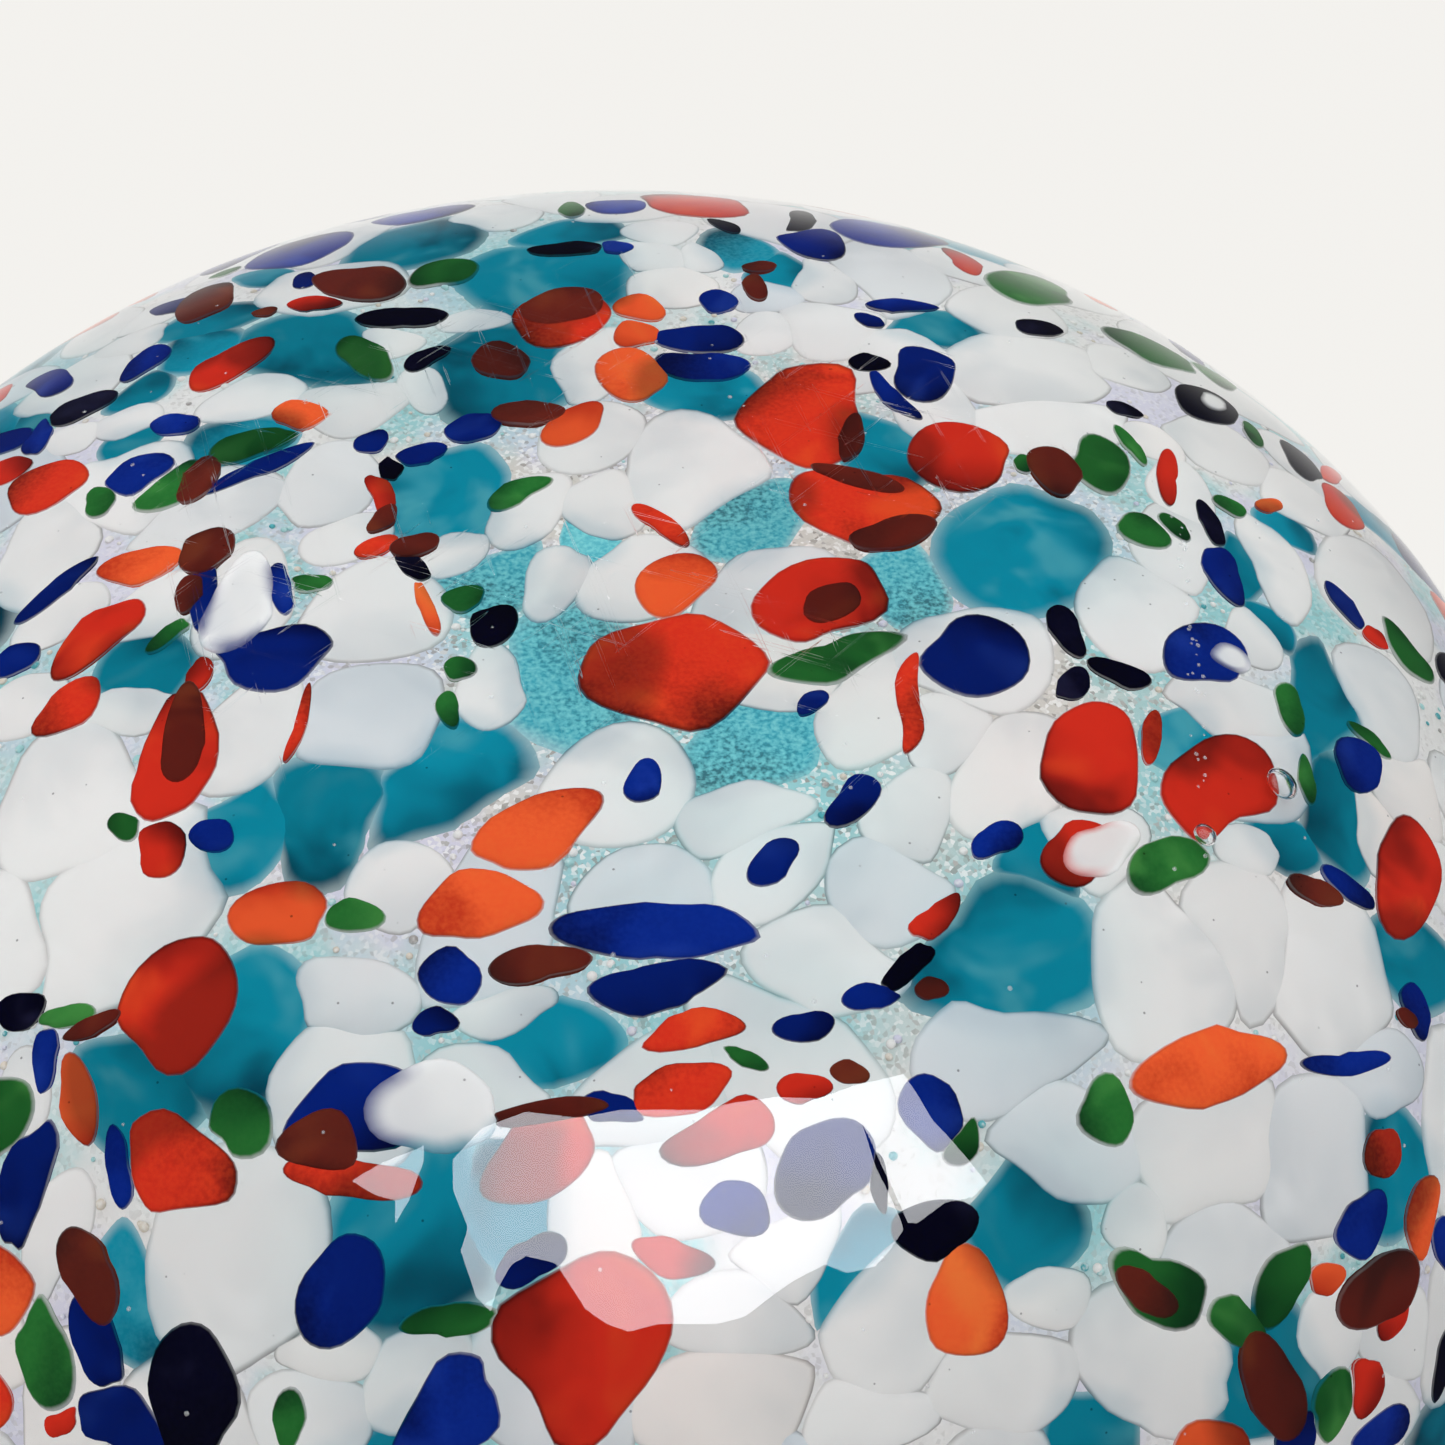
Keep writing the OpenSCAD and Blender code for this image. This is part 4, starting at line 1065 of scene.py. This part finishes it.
def make_world(scene):
    """Pale studio: white beyond the bowl, a dim room on the photograph's side, soft light all round."""
    world = bpy.data.worlds.new("pale_studio")
    scene.world = world
    world.use_nodes = True
    tree = world.node_tree
    back = tree.nodes["Background"]
    where = node(tree, "ShaderNodeTexCoord", (-1300, 0))
    path = node(tree, "ShaderNodeLightPath", (-700, 500))
    place, right, up, ahead = camera_axes()
    backdrop = scene.bowl_stage.backdrop
    beyond = node(tree, "ShaderNodeVectorMath", (-1050, 100), operation="DOT_PRODUCT")
    beyond.inputs[1].default_value = ahead
    tree.links.new(where.outputs["Generated"], beyond.inputs[0])
    seen = map_range(tree, (-800, 100), beyond.outputs["Value"], 0.6, 1.0)
    room = mix_colour(tree, (-550, 100), (0.04, 0.04, 0.045), backdrop, seen)
    above = node(tree, "ShaderNodeVectorMath", (-1050, -200), operation="DOT_PRODUCT")
    above.inputs[1].default_value = (up - 0.3 * right).normalized()
    tree.links.new(where.outputs["Generated"], above.inputs[0])
    high = map_range(tree, (-800, -200), above.outputs["Value"], -1.0, 1.0, smooth=False)
    light = mix_colour(tree, (-550, -200), scene.bowl_stage.low_light, scene.bowl_stage.high_light, high)
    split = node(tree, "ShaderNodeSeparateXYZ", (-1050, -450))
    tree.links.new(where.outputs["Generated"], split.inputs["Vector"])
    lamp = map_range(tree, (-800, -450), split.outputs["Z"], 0.55, 0.85)
    light = mix_colour(tree, (-400, -300), light, scene.bowl_stage.top_light, lamp)
    straight = math_node(tree, (-500, 400), "SUBTRACT", 1.0, path.outputs["Is Transmission Ray"])
    mirrored = math_node(tree, (-400, 300), "MULTIPLY", path.outputs["Is Glossy Ray"], straight)
    lit = mix_colour(tree, (-300, 0), light, room, mirrored)
    shown = mix_colour(tree, (-100, 100), lit, backdrop, path.outputs["Is Camera Ray"])
    tree.links.new(shown, back.inputs["Color"])
    back.inputs["Strength"].default_value = 1.0


def make_floor(scene):
    """A pale floor that shows only from above and runs into the backdrop far from the bowl."""
    material, tree, shader = plain_material("pale_floor")
    shader.inputs["Base Color"].default_value = (0.55, 0.54, 0.52, 1.0)
    shader.inputs["Roughness"].default_value = 0.8
    out = tree.nodes["Material Output"]
    where = node(tree, "ShaderNodeTexCoord", (-700, 400))
    away = node(tree, "ShaderNodeVectorMath", (-500, 400), operation="LENGTH")
    tree.links.new(where.outputs["Object"], away.inputs[0])
    plain = node(tree, "ShaderNodeEmission", (0, 200))
    plain.inputs["Color"].default_value = (*scene.bowl_stage.backdrop, 1.0)
    faded = node(tree, "ShaderNodeMixShader", (250, 300))
    tree.links.new(map_range(tree, (-250, 400), away.outputs["Value"], 0.4, 2.5), faded.inputs[0])
    tree.links.new(shader.outputs["BSDF"], faded.inputs[1])
    tree.links.new(plain.outputs["Emission"], faded.inputs[2])
    clear = node(tree, "ShaderNodeBsdfTransparent", (0, -200))
    side = node(tree, "ShaderNodeNewGeometry", (250, 600))
    mix = node(tree, "ShaderNodeMixShader", (500, 100))
    tree.links.new(side.outputs["Backfacing"], mix.inputs[0])
    tree.links.new(faded.outputs["Shader"], mix.inputs[1])
    tree.links.new(clear.outputs["BSDF"], mix.inputs[2])
    tree.links.new(mix.outputs["Shader"], out.inputs["Surface"])
    far = 60.0
    low = -0.0003
    corners = [(-far, -far, low), (far, -far, low), (far, far, low), (-far, far, low)]
    floor = make_object("floor", corners, [(0, 1, 2, 3)], material, smooth=False)
    floor.visible_diffuse = False
    floor.visible_glossy = False
    floor.visible_transmission = False
    floor.visible_shadow = False


# The photograph's camera, under the bowl: its angle below the base, pitch and yaw in degrees
CAMERA_RISE = 50
CAMERA_PITCH = 5.9
CAMERA_YAW = 2.1
# Its distance from a point on the bowl's axis and the height of that point, in metres
CAMERA_AWAY = 0.25
CAMERA_POINT = 0.06


def camera_axes():
    """The camera's place and its right, up and forward directions, as the photograph was taken."""
    rise = math.radians(CAMERA_RISE)
    pitch = math.radians(CAMERA_PITCH)
    yaw = math.radians(CAMERA_YAW)
    back = Vector((0, -math.cos(rise), math.sin(rise)))
    ahead = -back
    right = Vector((1, 0, 0))
    up = right.cross(ahead)
    tipped = ahead * math.cos(pitch) + up * math.sin(pitch)
    up = up * math.cos(pitch) - ahead * math.sin(pitch)
    turned = tipped * math.cos(yaw) + right * math.sin(yaw)
    right = right * math.cos(yaw) - tipped * math.sin(yaw)

    def over(v):
        """A direction with the bowl turned over, from standing on its mouth to standing on its base."""
        return Vector((-v.x, v.y, -v.z))

    place = over(back * CAMERA_AWAY) + Vector((0, 0, CAMERA_POINT))
    return place, over(right), over(up), over(turned)


def make_camera(scene):
    place, right, up, ahead = camera_axes()
    data = bpy.data.cameras.new("camera")
    data.sensor_width = 36.0
    data.lens = scene.bowl_stage.lens
    data.clip_start = 0.01
    data.clip_end = 200.0
    camera = bpy.data.objects.new("camera", data)
    turn = Matrix((right, up, -ahead)).transposed().to_4x4()
    camera.matrix_world = Matrix.Translation(place) @ turn
    scene.collection.objects.link(camera)
    scene.camera = camera


# Outlines of the window's reflection on the wall, in the flat layout, in millimetres
WINDOW = (
    (
        (-11, -59), (-10, -58), (-7, -57), (-3.5, -57.5), (-0.5, -57), (2, -57), (5, -57), (7, -56.5),
        (10, -56), (13, -56), (15.5, -55), (19, -54), (21, -57), (23, -59), (25, -61), (24, -62),
        (22, -62.5), (20, -64), (19.3, -64), (17.5, -60.5), (16, -57.5), (17, -60.5), (18.8, -63.8),
        (19, -64.5), (18, -66), (17, -67), (15, -67.5), (13.5, -67), (11.5, -68), (10, -69), (8, -70.5),
        (6, -71), (4, -71), (2, -71), (0, -71.5), (-1.5, -71), (-3, -70), (-4, -68.5), (-5, -67),
        (-7, -66.5), (-8, -67), (-9, -68.5), (-9.5, -70), (-10.5, -69), (-11, -67.5), (-11.5, -66),
        (-11, -64.5), (-12, -62), (-12, -60),
    ),
    (
        (-19, -61), (-17, -60), (-14, -59), (-14, -60), (-15, -62.5), (-16, -64), (-16, -62.5),
        (-17.5, -62),
    ),
)
# How far off the window stands, in metres, and how bright it is
WINDOW_AWAY = 0.5
WINDOW_STRENGTH = 9.0


def make_window():
    """Bright window in front of the bowl, which shows only as a reflection on the face of the glass."""
    material, tree, shader = plain_material("window_light")
    shader.inputs["Base Color"].default_value = (0, 0, 0, 1)
    shader.inputs["Emission Color"].default_value = (0.93, 0.95, 1.0, 1.0)
    path = node(tree, "ShaderNodeLightPath", (-500, -200))
    through = path.outputs["Is Transmission Ray"]
    strength = map_range(tree, (-200, -200), through, 0.0, 1.0, WINDOW_STRENGTH, 0.0)
    tree.links.new(strength, shader.inputs["Emission Strength"])
    place = np.array(camera_axes()[0])
    for k, outline in enumerate(WINDOW):
        verts = []
        for x, y in outline:
            point = layout_point(x, y, 0.0)
            normal = wall_frame(point)[2]
            look = point - place
            look = look / np.linalg.norm(look)
            verts.append(point + WINDOW_AWAY * (look - 2 * look.dot(normal) * normal))
        window = make_object("window_%d" % k, verts, [tuple(range(len(verts)))], material, smooth=False)
        window.visible_camera = False
        window.visible_diffuse = False
        window.visible_transmission = False
        window.visible_shadow = False


class BOWL_PT_panel(bpy.types.Panel):
    """Sizes, colours and steps of the bowl"""
    bl_idname = "BOWL_PT_panel"
    bl_label = "Art Glass Bowl"
    bl_space_type = "VIEW_3D"
    bl_region_type = "UI"
    bl_category = "Glass Bowl"

    def draw(self, context):
        for group in (context.scene.bowl_shape, context.scene.bowl_colours, context.scene.bowl_stage):
            box = self.layout.box()
            for name in group.__annotations__:
                box.prop(group, name)
        for step in STEPS:
            self.layout.operator(step.bl_idname)


STEPS = (
    BOWL_OT_glass_body, BOWL_OT_seeds, BOWL_OT_frit_bed, BOWL_OT_grains, BOWL_OT_chips, BOWL_OT_stage,
)
GROUPS = (("bowl_shape", BowlShape), ("bowl_colours", BowlColours), ("bowl_stage", BowlStage))


def register():
    for name, group in GROUPS:
        bpy.utils.register_class(group)
        setattr(bpy.types.Scene, name, bpy.props.PointerProperty(type=group))
    for step in STEPS:
        bpy.utils.register_class(step)
    bpy.utils.register_class(BOWL_PT_panel)


def unregister():
    bpy.utils.unregister_class(BOWL_PT_panel)
    for step in reversed(STEPS):
        bpy.utils.unregister_class(step)
    for name, group in reversed(GROUPS):
        delattr(bpy.types.Scene, name)
        bpy.utils.unregister_class(group)


def main():
    register()
    bpy.ops.bowl.glass_body()
    bpy.ops.bowl.seeds()
    bpy.ops.bowl.frit_bed()
    bpy.ops.bowl.grains()
    bpy.ops.bowl.chips()
    bpy.ops.bowl.stage()


if __name__ == "__main__":
    main()
